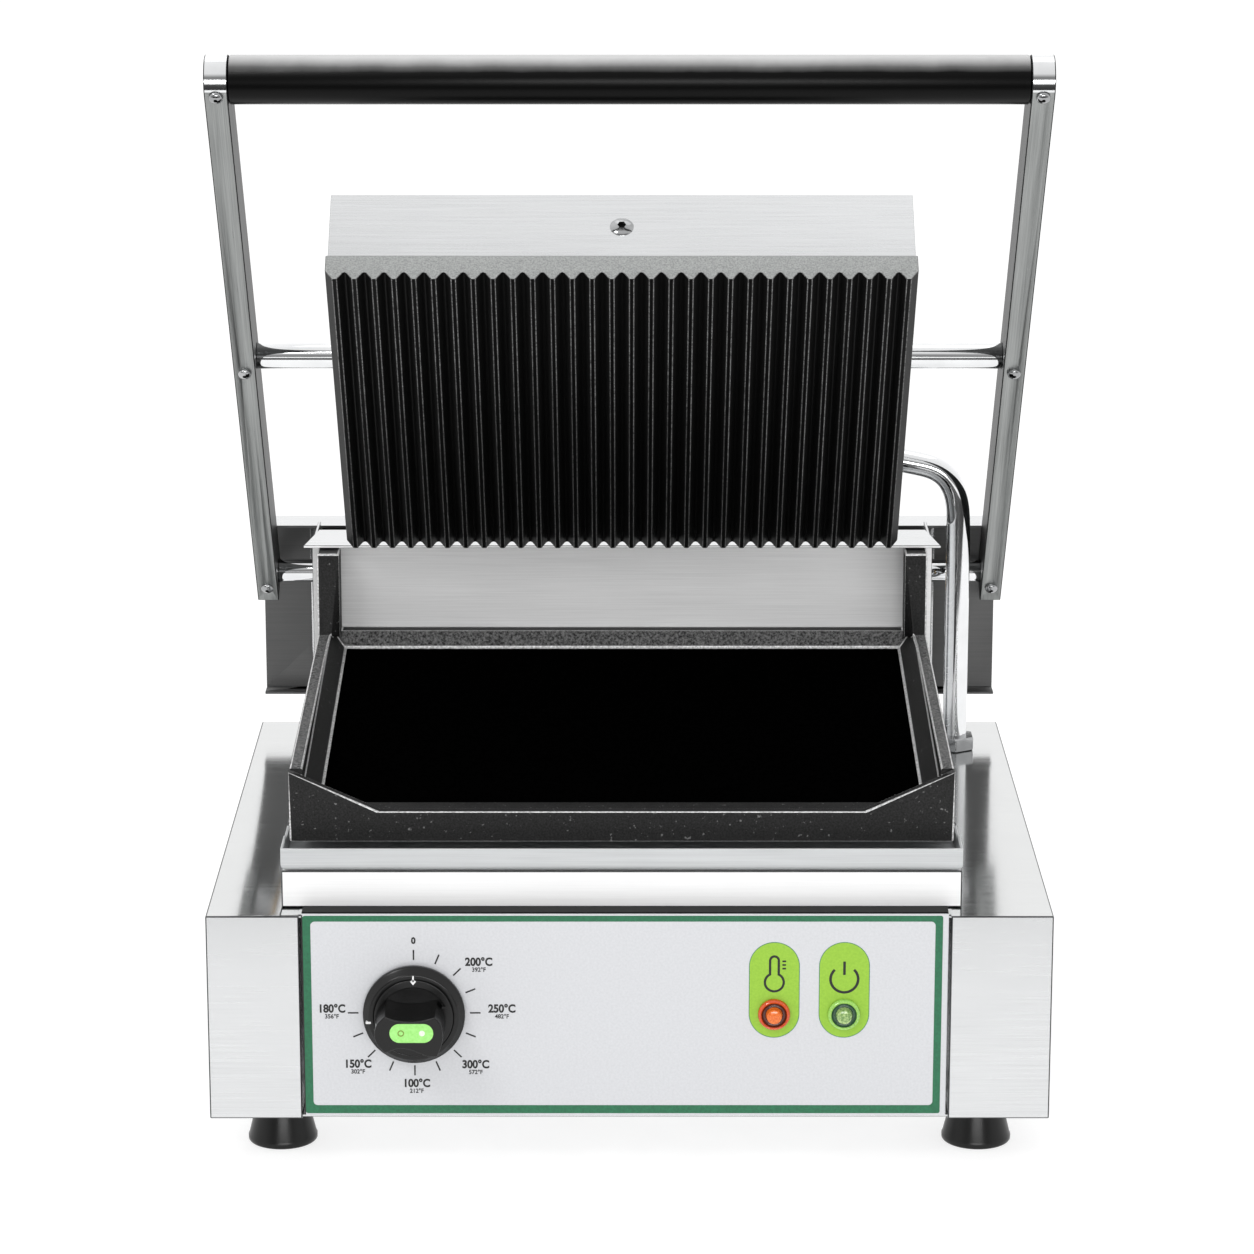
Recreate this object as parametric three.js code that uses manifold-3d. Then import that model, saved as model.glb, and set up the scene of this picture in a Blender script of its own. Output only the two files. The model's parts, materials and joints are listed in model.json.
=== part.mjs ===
// Contact grill with a hinged, ribbed upper plate over a sunken smooth lower plate.
//
// Working frame: X to the right, Y from the columns' front face towards the back, Z up from the
// underside of the base. At the end the whole press is lifted onto its feet and centred in Y.

import * as THREE from 'three';
import { mergeVertices } from 'three/addons/utils/BufferGeometryUtils.js';
import Module from 'manifold-3d';

const wasm = await Module();
wasm.setup();

// ---------------------------------------------------------------- driving dimensions, mm

const GAP = 0.3;
const SHEET = 1.5;

const BASE_WIDTH = 430;
const BASE_DEPTH = 360;
const BASE_HEIGHT = 109;
const FOOT_HEIGHT = 26;
const FOOT_X = 181;
const FOOT_FRONT_Y = 40;
const FOOT_BACK_Y = 320;

const PANEL_LEFT = -166.4;
const PANEL_RIGHT = 161.9;
const PANEL_GAP = 1.2;
const PANEL_FRONT_Y = 0.5;
const COLUMN_DEPTH = 40;

const KNOB_X = -109.7;
const KNOB_Z = 57.2;
const KNOB_RADIUS = 26;
const KNOB_SKIRT = 6;
const KNOB_REACH = 30;
const LAMP_X = [73.6, 109.2];
const LAMP_Z = 56.6;
const LAMP_RADIUS = 8.2;

const PLATE_X = -4;
const PLINTH_WIDTH = 346.5;
const PLINTH_FRONT_Y = 14;
const PLINTH_BACK_Y = 268;
const PLINTH_TOP_Z = 139.6;
const TRAY_FLOOR_Z = 129;
const TRAY_TOP_Z = 141;
const TRAY_BACK_Y = 60;

const PAN_WIDTH = 339;
const PAN_FRONT_Y = 27;
const PAN_BACK_Y = 270;
const PAN_BOTTOM_Z = 140.2;
const PAN_LIP_Z = 156.1;
const PAN_CORNER_Z = 176.7;
const PAN_CORNER_RUN = 46;
const PAN_RIM_Z = 190;
const PAN_EAR_Y = 252;
const PAN_EAR_Z = 236.4;
const SURFACE_WIDTH = 310;
const SURFACE_FRONT = { y: 33.5, z: 154.8 };
const SURFACE_BACK = { y: 261, z: 180 };

const FLANGE_FRONT_Y = 262;
const FLANGE_BACK_Y = 300;
const FLANGE_TOP_Z = 238.9;
const UPRIGHT_BACK_Y = 355;

const COVER_WIDTH = 423;
const COVER_BOTTOM_Z = 130;
const COVER_TOP_Z = 233.5;
const COVER_BACK_Y = 358;

const AXLE_Y = 336.3;
const AXLE_Z = 206.2;
const AXLE_RADIUS = 6.7;
const ROD_RADIUS = 7;
const ROD_REACH = 187;
const HANDLE_REACH = 397.7;
const GRIP_RADIUS = 12.5;
const ARM_LEAN = THREE.MathUtils.degToRad(37.7);
const ARM_OUTSIDE = 213.5;
const ARM_THICKNESS = 12;
const ARM_DEPTH = 25;
const ARM_TAIL = 12;

const HEAD_WIDTH = 305;
const HEAD_LENGTH = 224;
const HEAD_ROD_RUN = 119.3;
const HEAD_ROD_HEIGHT = 44.7;
const HEAD_TILT = THREE.MathUtils.degToRad(51.63);
const HEAD_HEIGHT = 54;
const RIB_COUNT = 30;
const RIB_DEPTH = 5.5;
const CAST_EDGE = 10.5;

const CONDUIT_X = 186.4;
const CONDUIT_Y = 306;
const CONDUIT_TOP_Z = 278;
const CONDUIT_RADIUS = 6.8;
const CONDUIT_BEND = 34;

const SPRING_X = 144;
const SPRING_RADIUS = 5;
const SPRING_WIRE = 1.1;
const SPRING_TURNS = 11;
const SPRING_FOOT_Z = 62;
const LEVER_RADIUS = 15;

// ---------------------------------------------------------------- shape helpers

const X_AXIS = new THREE.Vector3(1, 0, 0);
const Y_AXIS = new THREE.Vector3(0, 1, 0);
const Z_AXIS = new THREE.Vector3(0, 0, 1);

function box(x0, x1, y0, y1, z0, z1) {
  const geometry = new THREE.BoxGeometry(x1 - x0, y1 - y0, z1 - z0);
  return geometry.translate((x0 + x1) / 2, (y0 + y1) / 2, (z0 + z1) / 2);
}

function outline(points) {
  return new THREE.Shape(points.map(([a, b]) => new THREE.Vector2(a, b)));
}

function roundedOutline(width, height, radius) {
  const shape = new THREE.Shape();
  const x = width / 2 - radius;
  const y = height / 2 - radius;
  shape.absarc(x, y, radius, 0, Math.PI / 2);
  shape.absarc(-x, y, radius, Math.PI / 2, Math.PI);
  shape.absarc(-x, -y, radius, Math.PI, 1.5 * Math.PI);
  shape.absarc(x, -y, radius, 1.5 * Math.PI, 2 * Math.PI);
  return shape;
}

function extrude(shape, depth, curveSegments = 8) {
  return new THREE.ExtrudeGeometry(shape, { depth, bevelEnabled: false, curveSegments });
}

// A side profile drawn in (y, z), extruded from x0 to x1.
function prismX(shape, x0, x1) {
  const turn = new THREE.Matrix4().makeBasis(Y_AXIS, Z_AXIS, X_AXIS);
  return extrude(shape, x1 - x0).applyMatrix4(turn).translate(x0, 0, 0);
}

// A front profile drawn in (x, z), extruded from y0 to y1.
function prismY(shape, y0, y1) {
  const turn = new THREE.Matrix4().makeBasis(X_AXIS, Z_AXIS, Y_AXIS.clone().negate());
  return extrude(shape, y1 - y0).applyMatrix4(turn).translate(0, y1, 0);
}

function roundX(radius, x0, x1, y = 0, z = 0, sides = 24) {
  const geometry = new THREE.CylinderGeometry(radius, radius, x1 - x0, sides);
  return geometry.rotateZ(Math.PI / 2).translate((x0 + x1) / 2, y, z);
}

function roundY(radius, y0, y1, x = 0, z = 0, sides = 24) {
  const geometry = new THREE.CylinderGeometry(radius, radius, y1 - y0, sides);
  return geometry.translate(x, (y0 + y1) / 2, z);
}

function roundZ(radius, z0, z1, x = 0, y = 0, sides = 24) {
  const geometry = new THREE.CylinderGeometry(radius, radius, z1 - z0, sides);
  return geometry.rotateX(Math.PI / 2).translate(x, y, (z0 + z1) / 2);
}

// A turned piece: profile points are (radius, height), and the piece stands along +Z.
function turned(profile, sides = 24) {
  const points = profile.map(([radius, height]) => new THREE.Vector2(radius, height));
  return new THREE.LatheGeometry(points, sides).rotateX(Math.PI / 2);
}

function toSolid(geometry) {
  const bare = geometry.clone();
  bare.deleteAttribute('normal');
  bare.deleteAttribute('uv');
  const merged = mergeVertices(bare, 1e-4);
  const vertProperties = new Float32Array(merged.attributes.position.array);
  const triVerts = new Uint32Array(merged.index.array);
  return new wasm.Manifold(new wasm.Mesh({ numProp: 3, vertProperties, triVerts }));
}

function fromSolid(solid) {
  const mesh = solid.getMesh();
  const geometry = new THREE.BufferGeometry();
  const positions = new Float32Array(mesh.vertProperties);
  geometry.setAttribute('position', new THREE.BufferAttribute(positions, 3));
  geometry.setIndex(new THREE.BufferAttribute(new Uint32Array(mesh.triVerts), 1));
  geometry.computeVertexNormals();
  return geometry;
}

function cut(body, ...tools) {
  return fromSolid(tools.reduce((solid, tool) => solid.subtract(toSolid(tool)), toSolid(body)));
}

function join(body, ...others) {
  return fromSolid(others.reduce((solid, other) => solid.add(toSolid(other)), toSolid(body)));
}

function tube(points, radius, sides, steps) {
  const section = new THREE.Shape();
  section.absarc(0, 0, radius, 0, 2 * Math.PI);
  const path = new THREE.CatmullRomCurve3(points, false, 'centripetal');
  return new THREE.ExtrudeGeometry(section, {
    steps,
    curveSegments: sides / 2,
    bevelEnabled: false,
    extrudePath: path,
  });
}

// ---------------------------------------------------------------- finishes

function finish(color, roughness, metalness) {
  return () => new THREE.MeshStandardMaterial({ color, roughness, metalness });
}

const brushedSteel = finish(0xd4d5d6, 0.35, 1);
const polishedSteel = finish(0xe4e5e6, 0.15, 1);
const castIron = finish(0x2b2b2b, 0.6, 0.3);
const darkSheet = finish(0x454545, 0.5, 0.6);
const blackPlastic = finish(0x151515, 0.35, 0);
const blackRubber = finish(0x1a1a1a, 0.7, 0);
const panelFilm = finish(0xd3d4d6, 0.45, 0);
const limePlastic = finish(0x98e070, 0.4, 0);
const orangeLens = finish(0xc8460f, 0.15, 0);
const greenLens = finish(0x9fc06a, 0.15, 0);
const brass = finish(0xb5924c, 0.35, 1);
const mineralBoard = finish(0xcfc8b8, 0.9, 0);
const springSteel = finish(0x8f9092, 0.35, 1);

// ---------------------------------------------------------------- assembly groups

const press = new THREE.Group();

const arms = new THREE.Group();
arms.position.set(0, AXLE_Y, AXLE_Z);
arms.rotation.x = ARM_LEAN;
press.add(arms);

// The head's own frame lies flat: x across, y from its front edge to its rear edge, and z up from
// the bottom of the rib grooves. The swivel rod fixes its place.
const rodY = AXLE_Y - ROD_REACH * Math.sin(ARM_LEAN);
const rodZ = AXLE_Z + ROD_REACH * Math.cos(ARM_LEAN);
const headOffset = new THREE.Vector3(0, HEAD_ROD_RUN, HEAD_ROD_HEIGHT).applyAxisAngle(X_AXIS, -HEAD_TILT);
const head = new THREE.Group();
head.position.set(PLATE_X, rodY - headOffset.y, rodZ - headOffset.z);
head.rotation.x = -HEAD_TILT;
press.add(head);

function headPoint(x, y, z) {
  return new THREE.Vector3(x, y, z).applyAxisAngle(X_AXIS, -HEAD_TILT).add(head.position);
}

function place(name, geometry, material, parent = press) {
  const mesh = new THREE.Mesh(geometry, material());
  mesh.name = name;
  parent.add(mesh);
  return mesh;
}

const SIDES = [['left', -1], ['right', 1]];

// ---------------------------------------------------------------- base

function makeBase() {
  const half = BASE_WIDTH / 2;
  const opening = box(
    PANEL_LEFT - PANEL_GAP, PANEL_RIGHT + PANEL_GAP, -1, SHEET + 1, -1, BASE_HEIGHT + 1,
  );
  const recess = box(
    PANEL_LEFT - PANEL_GAP, PANEL_RIGHT + PANEL_GAP, -1, PANEL_FRONT_Y + 1.8, -1, BASE_HEIGHT + 1,
  );
  const hollow = box(-half + SHEET, half - SHEET, SHEET, BASE_DEPTH - SHEET, -1, BASE_HEIGHT - SHEET);
  const leftCheek = box(
    PANEL_LEFT - PANEL_GAP - SHEET, PANEL_LEFT - PANEL_GAP, 0, COLUMN_DEPTH, 3, BASE_HEIGHT,
  );
  const rightCheek = box(
    PANEL_RIGHT + PANEL_GAP, PANEL_RIGHT + PANEL_GAP + SHEET, 0, COLUMN_DEPTH, 3, BASE_HEIGHT,
  );
  const serviceWindow = box(-162, 154, 282, 353, BASE_HEIGHT - 3, BASE_HEIGHT + 1);
  const conduitHole = roundZ(9, BASE_HEIGHT - 3, BASE_HEIGHT + 1, CONDUIT_X, CONDUIT_Y);
  const glandHole = roundY(9, BASE_DEPTH - 3, BASE_DEPTH + 1, -150, 36);
  const slots = [];
  for (let row = 0; row < 2; row += 1) {
    for (let column = 0; column < 8; column += 1) {
      const x = -70 + column * 26;
      const z = 58 + row * 16;
      slots.push(box(x, x + 18, BASE_DEPTH - 3, BASE_DEPTH + 1, z, z + 5));
    }
  }
  const shell = box(-half, half, 0, BASE_DEPTH, 0, BASE_HEIGHT);
  const opened = cut(shell, hollow, opening, recess, serviceWindow, conduitHole, glandHole, ...slots);
  place('base_shell', join(opened, leftCheek, rightCheek), brushedSteel);

  const floorSlots = [];
  for (let i = 0; i < 6; i += 1) {
    floorSlots.push(box(-90 + i * 32, -82 + i * 32, 130, 230, -1, SHEET + 2));
  }
  const footHoles = [];
  for (const [, side] of SIDES) {
    for (const y of [FOOT_FRONT_Y, FOOT_BACK_Y]) {
      footHoles.push(roundZ(3.4, -1, SHEET + 2, side * FOOT_X, y, 16));
    }
  }
  const inner = half - SHEET - GAP;
  const floor = box(-inner, inner, PANEL_FRONT_Y + 2.2, BASE_DEPTH - SHEET - GAP, 0, SHEET);
  place('base_floor', cut(floor, ...floorSlots, ...footHoles), brushedSteel);
}

function makePanel() {
  const front = PANEL_FRONT_Y;
  const plate = box(PANEL_LEFT, PANEL_RIGHT, front, front + SHEET, 1.5, BASE_HEIGHT + 1);
  const shaftHole = roundY(4, front - 1, front + 3, KNOB_X, KNOB_Z, 16);
  const lampHoles = LAMP_X.map((x) => roundY(6.6, front - 1, front + 3, x, LAMP_Z, 16));
  place('control_panel', cut(plate, shaftHole, ...lampHoles), panelFilm);
}

function makeFeet() {
  const profile = [
    [3.6, -GAP], [3.6, -FOOT_HEIGHT + 9], [7.5, -FOOT_HEIGHT + 9], [7.5, -FOOT_HEIGHT],
    [17, -FOOT_HEIGHT], [18, -FOOT_HEIGHT + 1.5], [17.6, -FOOT_HEIGHT + 6], [13.2, -3],
    [12.6, -GAP], [3.6, -GAP],
  ];
  for (const [label, side] of SIDES) {
    for (const [end, y] of [['front', FOOT_FRONT_Y], ['back', FOOT_BACK_Y]]) {
      const foot = place(`foot_${end}_${label}`, turned(profile, 20), blackRubber);
      foot.position.set(side * FOOT_X, y, 0);
    }
  }
}

// ---------------------------------------------------------------- controls

function makeControls() {
  const panelBack = PANEL_FRONT_Y + SHEET + GAP;
  const caseBlock = box(KNOB_X - 20, KNOB_X + 20, panelBack, panelBack + 28, KNOB_Z - 18, KNOB_Z + 18);
  const tail = roundY(14, panelBack + 27, panelBack + 38, KNOB_X, KNOB_Z, 20);
  const bore = roundY(3.5, panelBack - 1, panelBack + 16, KNOB_X, KNOB_Z, 16);
  place('thermostat_body', cut(join(caseBlock, tail), bore), blackPlastic);

  const shaft = roundY(3, -16, panelBack + 14, KNOB_X, KNOB_Z, 16);
  place('thermostat_shaft', shaft, brass);

  const skirtFront = -KNOB_SKIRT;
  const skirt = turned([
    [0, 0], [KNOB_RADIUS, 0], [KNOB_RADIUS, 2], [KNOB_RADIUS - 3.5, KNOB_SKIRT], [0, KNOB_SKIRT],
  ], 40);
  skirt.rotateX(Math.PI / 2);
  const waist = new THREE.Shape();
  waist.moveTo(-16.5, -9);
  waist.quadraticCurveTo(-4, -5.5, 4, -8);
  waist.quadraticCurveTo(10, -10, 15, -10);
  waist.quadraticCurveTo(19.5, 0, 15, 10);
  waist.quadraticCurveTo(0, 4.5, -15, 10);
  waist.quadraticCurveTo(-21, 0, -16.5, -9);
  const grip = prismY(waist, -KNOB_REACH, skirtFront + 1);
  const insertPocket = prismY(roundedOutline(22.6, 10.6, 5.2), -KNOB_REACH - 1, -KNOB_REACH + 2);
  const shaftBore = roundY(3.4, -17, 1, 0, 0, 16);
  const knobBody = cut(join(skirt, grip), insertPocket, shaftBore);
  const knob = place('control_knob', knobBody, blackPlastic);
  knob.position.set(KNOB_X, -GAP, KNOB_Z);

  const insertShape = roundedOutline(22, 10, 4.9);
  const insert = place('knob_insert', prismY(insertShape, -KNOB_REACH, -KNOB_REACH + 1.6), limePlastic);
  insert.position.set(KNOB_X, -GAP, KNOB_Z);

  const names = ['heating', 'power'];
  const glass = [orangeLens, greenLens];
  const lens = turned([
    [0, 0], [LAMP_RADIUS, 0], [LAMP_RADIUS, 1.6], [LAMP_RADIUS - 1.5, 3.2], [3.4, 5], [0, 5.4],
  ], 24);
  lens.rotateX(Math.PI / 2);
  for (let i = 0; i < LAMP_X.length; i += 1) {
    const cover = place(`${names[i]}_lamp_lens`, lens.clone(), glass[i]);
    cover.position.set(LAMP_X[i], PANEL_FRONT_Y - GAP, LAMP_Z);
    const holder = roundY(6.2, PANEL_FRONT_Y, PANEL_FRONT_Y + 30, LAMP_X[i], LAMP_Z, 16);
    place(`${names[i]}_lamp_holder`, holder, blackPlastic);
  }
}

function makeWiring() {
  const block = box(-30, 50, 300, 318, SHEET + GAP, 24);
  const wireWays = [];
  for (let i = 0; i < 5; i += 1) {
    wireWays.push(roundY(3, 299, 319, -20 + i * 15, 14, 12));
  }
  place('terminal_block', cut(block, ...wireWays), mineralBoard);

  const gland = turned([
    [5.2, -12], [8.6, -12], [8.6, GAP + 1.5], [11.5, GAP + 1.5], [11.5, 8], [9, 13], [5.2, 13],
    [5.2, -12],
  ], 20);
  const glandMesh = place('cable_gland', gland, blackPlastic);
  glandMesh.rotation.x = -Math.PI / 2;
  glandMesh.position.set(-150, BASE_DEPTH - 1, 36);
}

// ---------------------------------------------------------------- plinth, tray and upright

function makePlinth() {
  const half = PLINTH_WIDTH / 2;
  const step = TRAY_BACK_Y + 2;
  const outer = outline([
    [PLINTH_FRONT_Y, BASE_HEIGHT + GAP], [PLINTH_BACK_Y, BASE_HEIGHT + GAP],
    [PLINTH_BACK_Y, PLINTH_TOP_Z], [step, PLINTH_TOP_Z], [step, TRAY_FLOOR_Z - GAP],
    [PLINTH_FRONT_Y, TRAY_FLOOR_Z - GAP],
  ]);
  const inner = outline([
    [PLINTH_FRONT_Y + SHEET, BASE_HEIGHT - 1], [PLINTH_BACK_Y - SHEET, BASE_HEIGHT - 1],
    [PLINTH_BACK_Y - SHEET, PLINTH_TOP_Z - SHEET], [step + SHEET, PLINTH_TOP_Z - SHEET],
    [step + SHEET, TRAY_FLOOR_Z - GAP - SHEET], [PLINTH_FRONT_Y + SHEET, TRAY_FLOOR_Z - GAP - SHEET],
  ]);
  const body = prismX(outer, PLATE_X - half, PLATE_X + half);
  const hollow = prismX(inner, PLATE_X - half + SHEET, PLATE_X + half - SHEET);
  place('plinth', cut(body, hollow), brushedSteel);
}

function makeTray() {
  const half = PLINTH_WIDTH / 2;
  const front = PLINTH_FRONT_Y - SHEET - GAP;
  const floorTop = TRAY_FLOOR_Z + SHEET;
  const body = box(PLATE_X - half, PLATE_X + half, front, TRAY_BACK_Y, TRAY_FLOOR_Z, TRAY_TOP_Z);
  const trough = box(
    PLATE_X - half + SHEET, PLATE_X + half - SHEET, front + SHEET, TRAY_BACK_Y - SHEET,
    floorTop, TRAY_TOP_Z + 1,
  );
  const lowBack = box(
    PLATE_X - half - 1, PLATE_X + half + 1, PAN_FRONT_Y + 8, TRAY_BACK_Y + 1,
    PLINTH_TOP_Z - 1, TRAY_TOP_Z + 1,
  );
  place('drip_tray', cut(body, trough, lowBack), brushedSteel);
}

function makeUpright() {
  const half = PLINTH_WIDTH / 2;
  const wallY = PAN_BACK_Y + 1;
  const cheek = outline([
    [wallY, BASE_HEIGHT + GAP], [UPRIGHT_BACK_Y, BASE_HEIGHT + GAP],
    [UPRIGHT_BACK_Y, COVER_TOP_Z - SHEET - 1], [COVER_BACK_Y - 28, COVER_TOP_Z - SHEET - 1],
    [COVER_BACK_Y - 36, FLANGE_TOP_Z - 0.5], [wallY, FLANGE_TOP_Z - 0.5],
  ]);
  const leftCheek = prismX(cheek, PLATE_X - half, PLATE_X - half + SHEET);
  const rightCheek = prismX(cheek, PLATE_X + half - SHEET, PLATE_X + half);
  const splash = box(PLATE_X - half, PLATE_X + half, wallY, wallY + SHEET, BASE_HEIGHT + GAP, FLANGE_TOP_Z);
  const flange = extrude(outline([
    [-half - 4, FLANGE_FRONT_Y], [half + 4, FLANGE_FRONT_Y], [half - 2, FLANGE_BACK_Y],
    [-half + 2, FLANGE_BACK_Y],
  ]), SHEET).translate(PLATE_X, 0, FLANGE_TOP_Z - SHEET);
  const flangeBack = UPRIGHT_BACK_Y;
  const flangeTop = COVER_TOP_Z - SHEET - 1;
  const leftTab = box(
    PLATE_X - half - 7, PLATE_X - half + SHEET, flangeBack - SHEET, flangeBack, BASE_HEIGHT + GAP, flangeTop,
  );
  const rightTab = box(
    PLATE_X + half - SHEET, PLATE_X + half + 7, flangeBack - SHEET, flangeBack, BASE_HEIGHT + GAP, flangeTop,
  );
  const body = join(splash, leftCheek, rightCheek, flange, leftTab, rightTab);
  const axleHole = roundX(10, -BASE_WIDTH / 2, BASE_WIDTH / 2, AXLE_Y, AXLE_Z);
  const boltHoles = SIDES.map(([, side]) => roundY(
    2.4, flangeBack - 4, flangeBack + 2, PLATE_X + side * (half + 3.5), 158, 12,
  ));
  place('rear_upright', cut(body, axleHole, ...boltHoles), brushedSteel);

  for (const [label, side] of SIDES) {
    const bush = turned([
      [AXLE_RADIUS + GAP, -4], [9.7, -4], [9.7, 1], [12, 1], [12, 3], [AXLE_RADIUS + GAP, 3],
      [AXLE_RADIUS + GAP, -4],
    ], 24);
    const mesh = place(`axle_bush_${label}`, bush, brass);
    mesh.rotation.y = side * Math.PI / 2;
    mesh.position.set(PLATE_X + side * (half - GAP / 2 - 0.5), AXLE_Y, AXLE_Z);
  }
}

function makeRearCover() {
  const half = COVER_WIDTH / 2;
  const topFlange = 25.4;
  const bottomFlange = 13;
  const section = outline([
    [COVER_BACK_Y, COVER_BOTTOM_Z], [COVER_BACK_Y, COVER_TOP_Z], [COVER_BACK_Y - topFlange, COVER_TOP_Z],
    [COVER_BACK_Y - topFlange, COVER_TOP_Z - SHEET], [COVER_BACK_Y - SHEET, COVER_TOP_Z - SHEET],
    [COVER_BACK_Y - SHEET, COVER_BOTTOM_Z + SHEET],
    [COVER_BACK_Y - bottomFlange, COVER_BOTTOM_Z + SHEET], [COVER_BACK_Y - bottomFlange, COVER_BOTTOM_Z],
  ].reverse());
  const body = prismX(section, -half, half);
  const reach = PLINTH_WIDTH / 2;
  const notches = SIDES.map(([, side]) => {
    const x = PLATE_X + side * reach;
    return box(x - 9, x + 9, COVER_BACK_Y - bottomFlange - 1, COVER_BACK_Y - SHEET - GAP, 129, 133);
  });
  const holes = SIDES.map(([, side]) => roundY(
    2.4, COVER_BACK_Y - 4, COVER_BACK_Y + 2, PLATE_X + side * (reach + 3.5), 158, 12,
  ));
  place('rear_cover', cut(body, ...notches, ...holes), darkSheet);

  for (const [label, side] of SIDES) {
    const bolt = turned([
      [0, -8], [2, -8], [2, GAP], [6.5, GAP], [6.5, 2], [4.6, 3.6], [0, 4],
    ], 16);
    const mesh = place(`rear_cover_bolt_${label}`, bolt, polishedSteel);
    mesh.rotation.x = -Math.PI / 2;
    mesh.position.set(PLATE_X + side * (reach + 3.5), COVER_BACK_Y, 158);
  }
}

// ---------------------------------------------------------------- lower plate

function makeLowerPlate() {
  const half = PAN_WIDTH / 2;
  const rise = (SURFACE_BACK.z - SURFACE_FRONT.z) / (SURFACE_BACK.y - SURFACE_FRONT.y);
  const sideView = outline([
    [PAN_FRONT_Y, PAN_BOTTOM_Z], [PAN_BACK_Y, PAN_BOTTOM_Z], [PAN_BACK_Y, PAN_EAR_Z],
    [PAN_EAR_Y, PAN_EAR_Z], [PAN_EAR_Y, PAN_RIM_Z], [PAN_FRONT_Y, PAN_CORNER_Z],
  ]);
  const body = prismX(sideView, PLATE_X - half, PLATE_X + half);

  // The well widens upwards, and its floor rises to the back with the cooking surface.
  const low = SURFACE_WIDTH / 2;
  const high = half - 6.6;
  const wellFront = outline([
    [-low, 0], [low, 0], [high, 12], [high, 120], [-high, 120], [-high, 12],
  ]);
  const wellLength = SURFACE_BACK.y - SURFACE_FRONT.y;
  const well = prismY(wellFront, 0, wellLength);
  const shear = new THREE.Matrix4().set(1, 0, 0, 0, 0, 1, 0, 0, 0, rise, 1, 0, 0, 0, 0, 1);
  well.applyMatrix4(shear).translate(PLATE_X, SURFACE_FRONT.y, SURFACE_FRONT.z);

  const earInner = half - 12.3;
  const betweenEars = box(
    PLATE_X - earInner, PLATE_X + earInner, PAN_EAR_Y - 2, PAN_BACK_Y + 1, PAN_RIM_Z, PAN_EAR_Z + 1,
  );
  const frontNotch = prismY(outline([
    [-half + PAN_CORNER_RUN, PAN_LIP_Z], [half - PAN_CORNER_RUN, PAN_LIP_Z],
    [half + 1, PAN_CORNER_Z + 0.5], [half + 1, PAN_EAR_Z], [-half - 1, PAN_EAR_Z],
    [-half - 1, PAN_CORNER_Z + 0.5],
  ]), PAN_FRONT_Y - 1, SURFACE_FRONT.y + 0.2).translate(PLATE_X, 0, 0);
  const underside = outline([
    [PAN_FRONT_Y + 12, PAN_BOTTOM_Z - 1], [PAN_BACK_Y - 9, PAN_BOTTOM_Z - 1],
    [PAN_BACK_Y - 9, SURFACE_BACK.z - 8], [PAN_FRONT_Y + 12, SURFACE_FRONT.z - 8],
  ]);
  const pocket = prismX(underside, PLATE_X - low + 4, PLATE_X + low - 4);
  const ears = SIDES.map(([, side]) => {
    const inner = PLATE_X + side * earInner;
    const outer = PLATE_X + side * half;
    return box(
      Math.min(inner, outer), Math.max(inner, outer), PAN_EAR_Y, PAN_BACK_Y, PAN_RIM_Z - 1, PAN_EAR_Z,
    );
  });
  place('lower_plate', join(cut(body, well, betweenEars, frontNotch, pocket), ...ears), castIron);
}

// ---------------------------------------------------------------- heaters

function heaterPath(width, length, runs) {
  const points = [];
  const pitch = length / (runs - 1);
  for (let run = 0; run < runs; run += 1) {
    const side = run % 2 === 0 ? 1 : -1;
    const y = run * pitch;
    const reach = width / 2 - pitch / 2;
    points.push(new THREE.Vector3(-side * reach, y, 0));
    points.push(new THREE.Vector3(0, y, 0));
    points.push(new THREE.Vector3(side * reach, y, 0));
    if (run < runs - 1) {
      points.push(new THREE.Vector3(side * (reach + pitch * 0.45), y + pitch / 2, 0));
    }
  }
  return points;
}

function makeHeaters() {
  const element = () => tube(heaterPath(260, 170, 5), 3, 6, 60);
  const lower = place('lower_heater', element(), darkSheet);
  const slope = Math.atan2(SURFACE_BACK.z - SURFACE_FRONT.z, SURFACE_BACK.y - SURFACE_FRONT.y);
  lower.rotation.x = slope;
  lower.position.set(PLATE_X, 66, 145.5);
  const pad = box(PLATE_X - 146, PLATE_X + 146, 70, 255, SHEET, 13);
  place('lower_insulation', pad.translate(0, 0, 112), mineralBoard);

  const upper = place('upper_heater', element(), darkSheet, head);
  upper.position.set(0, 27, 7.6);
  place('upper_insulation', box(-134, 134, 12, HEAD_LENGTH - 12, 13, 19), mineralBoard, head);
}

// ---------------------------------------------------------------- lift arms

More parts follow.
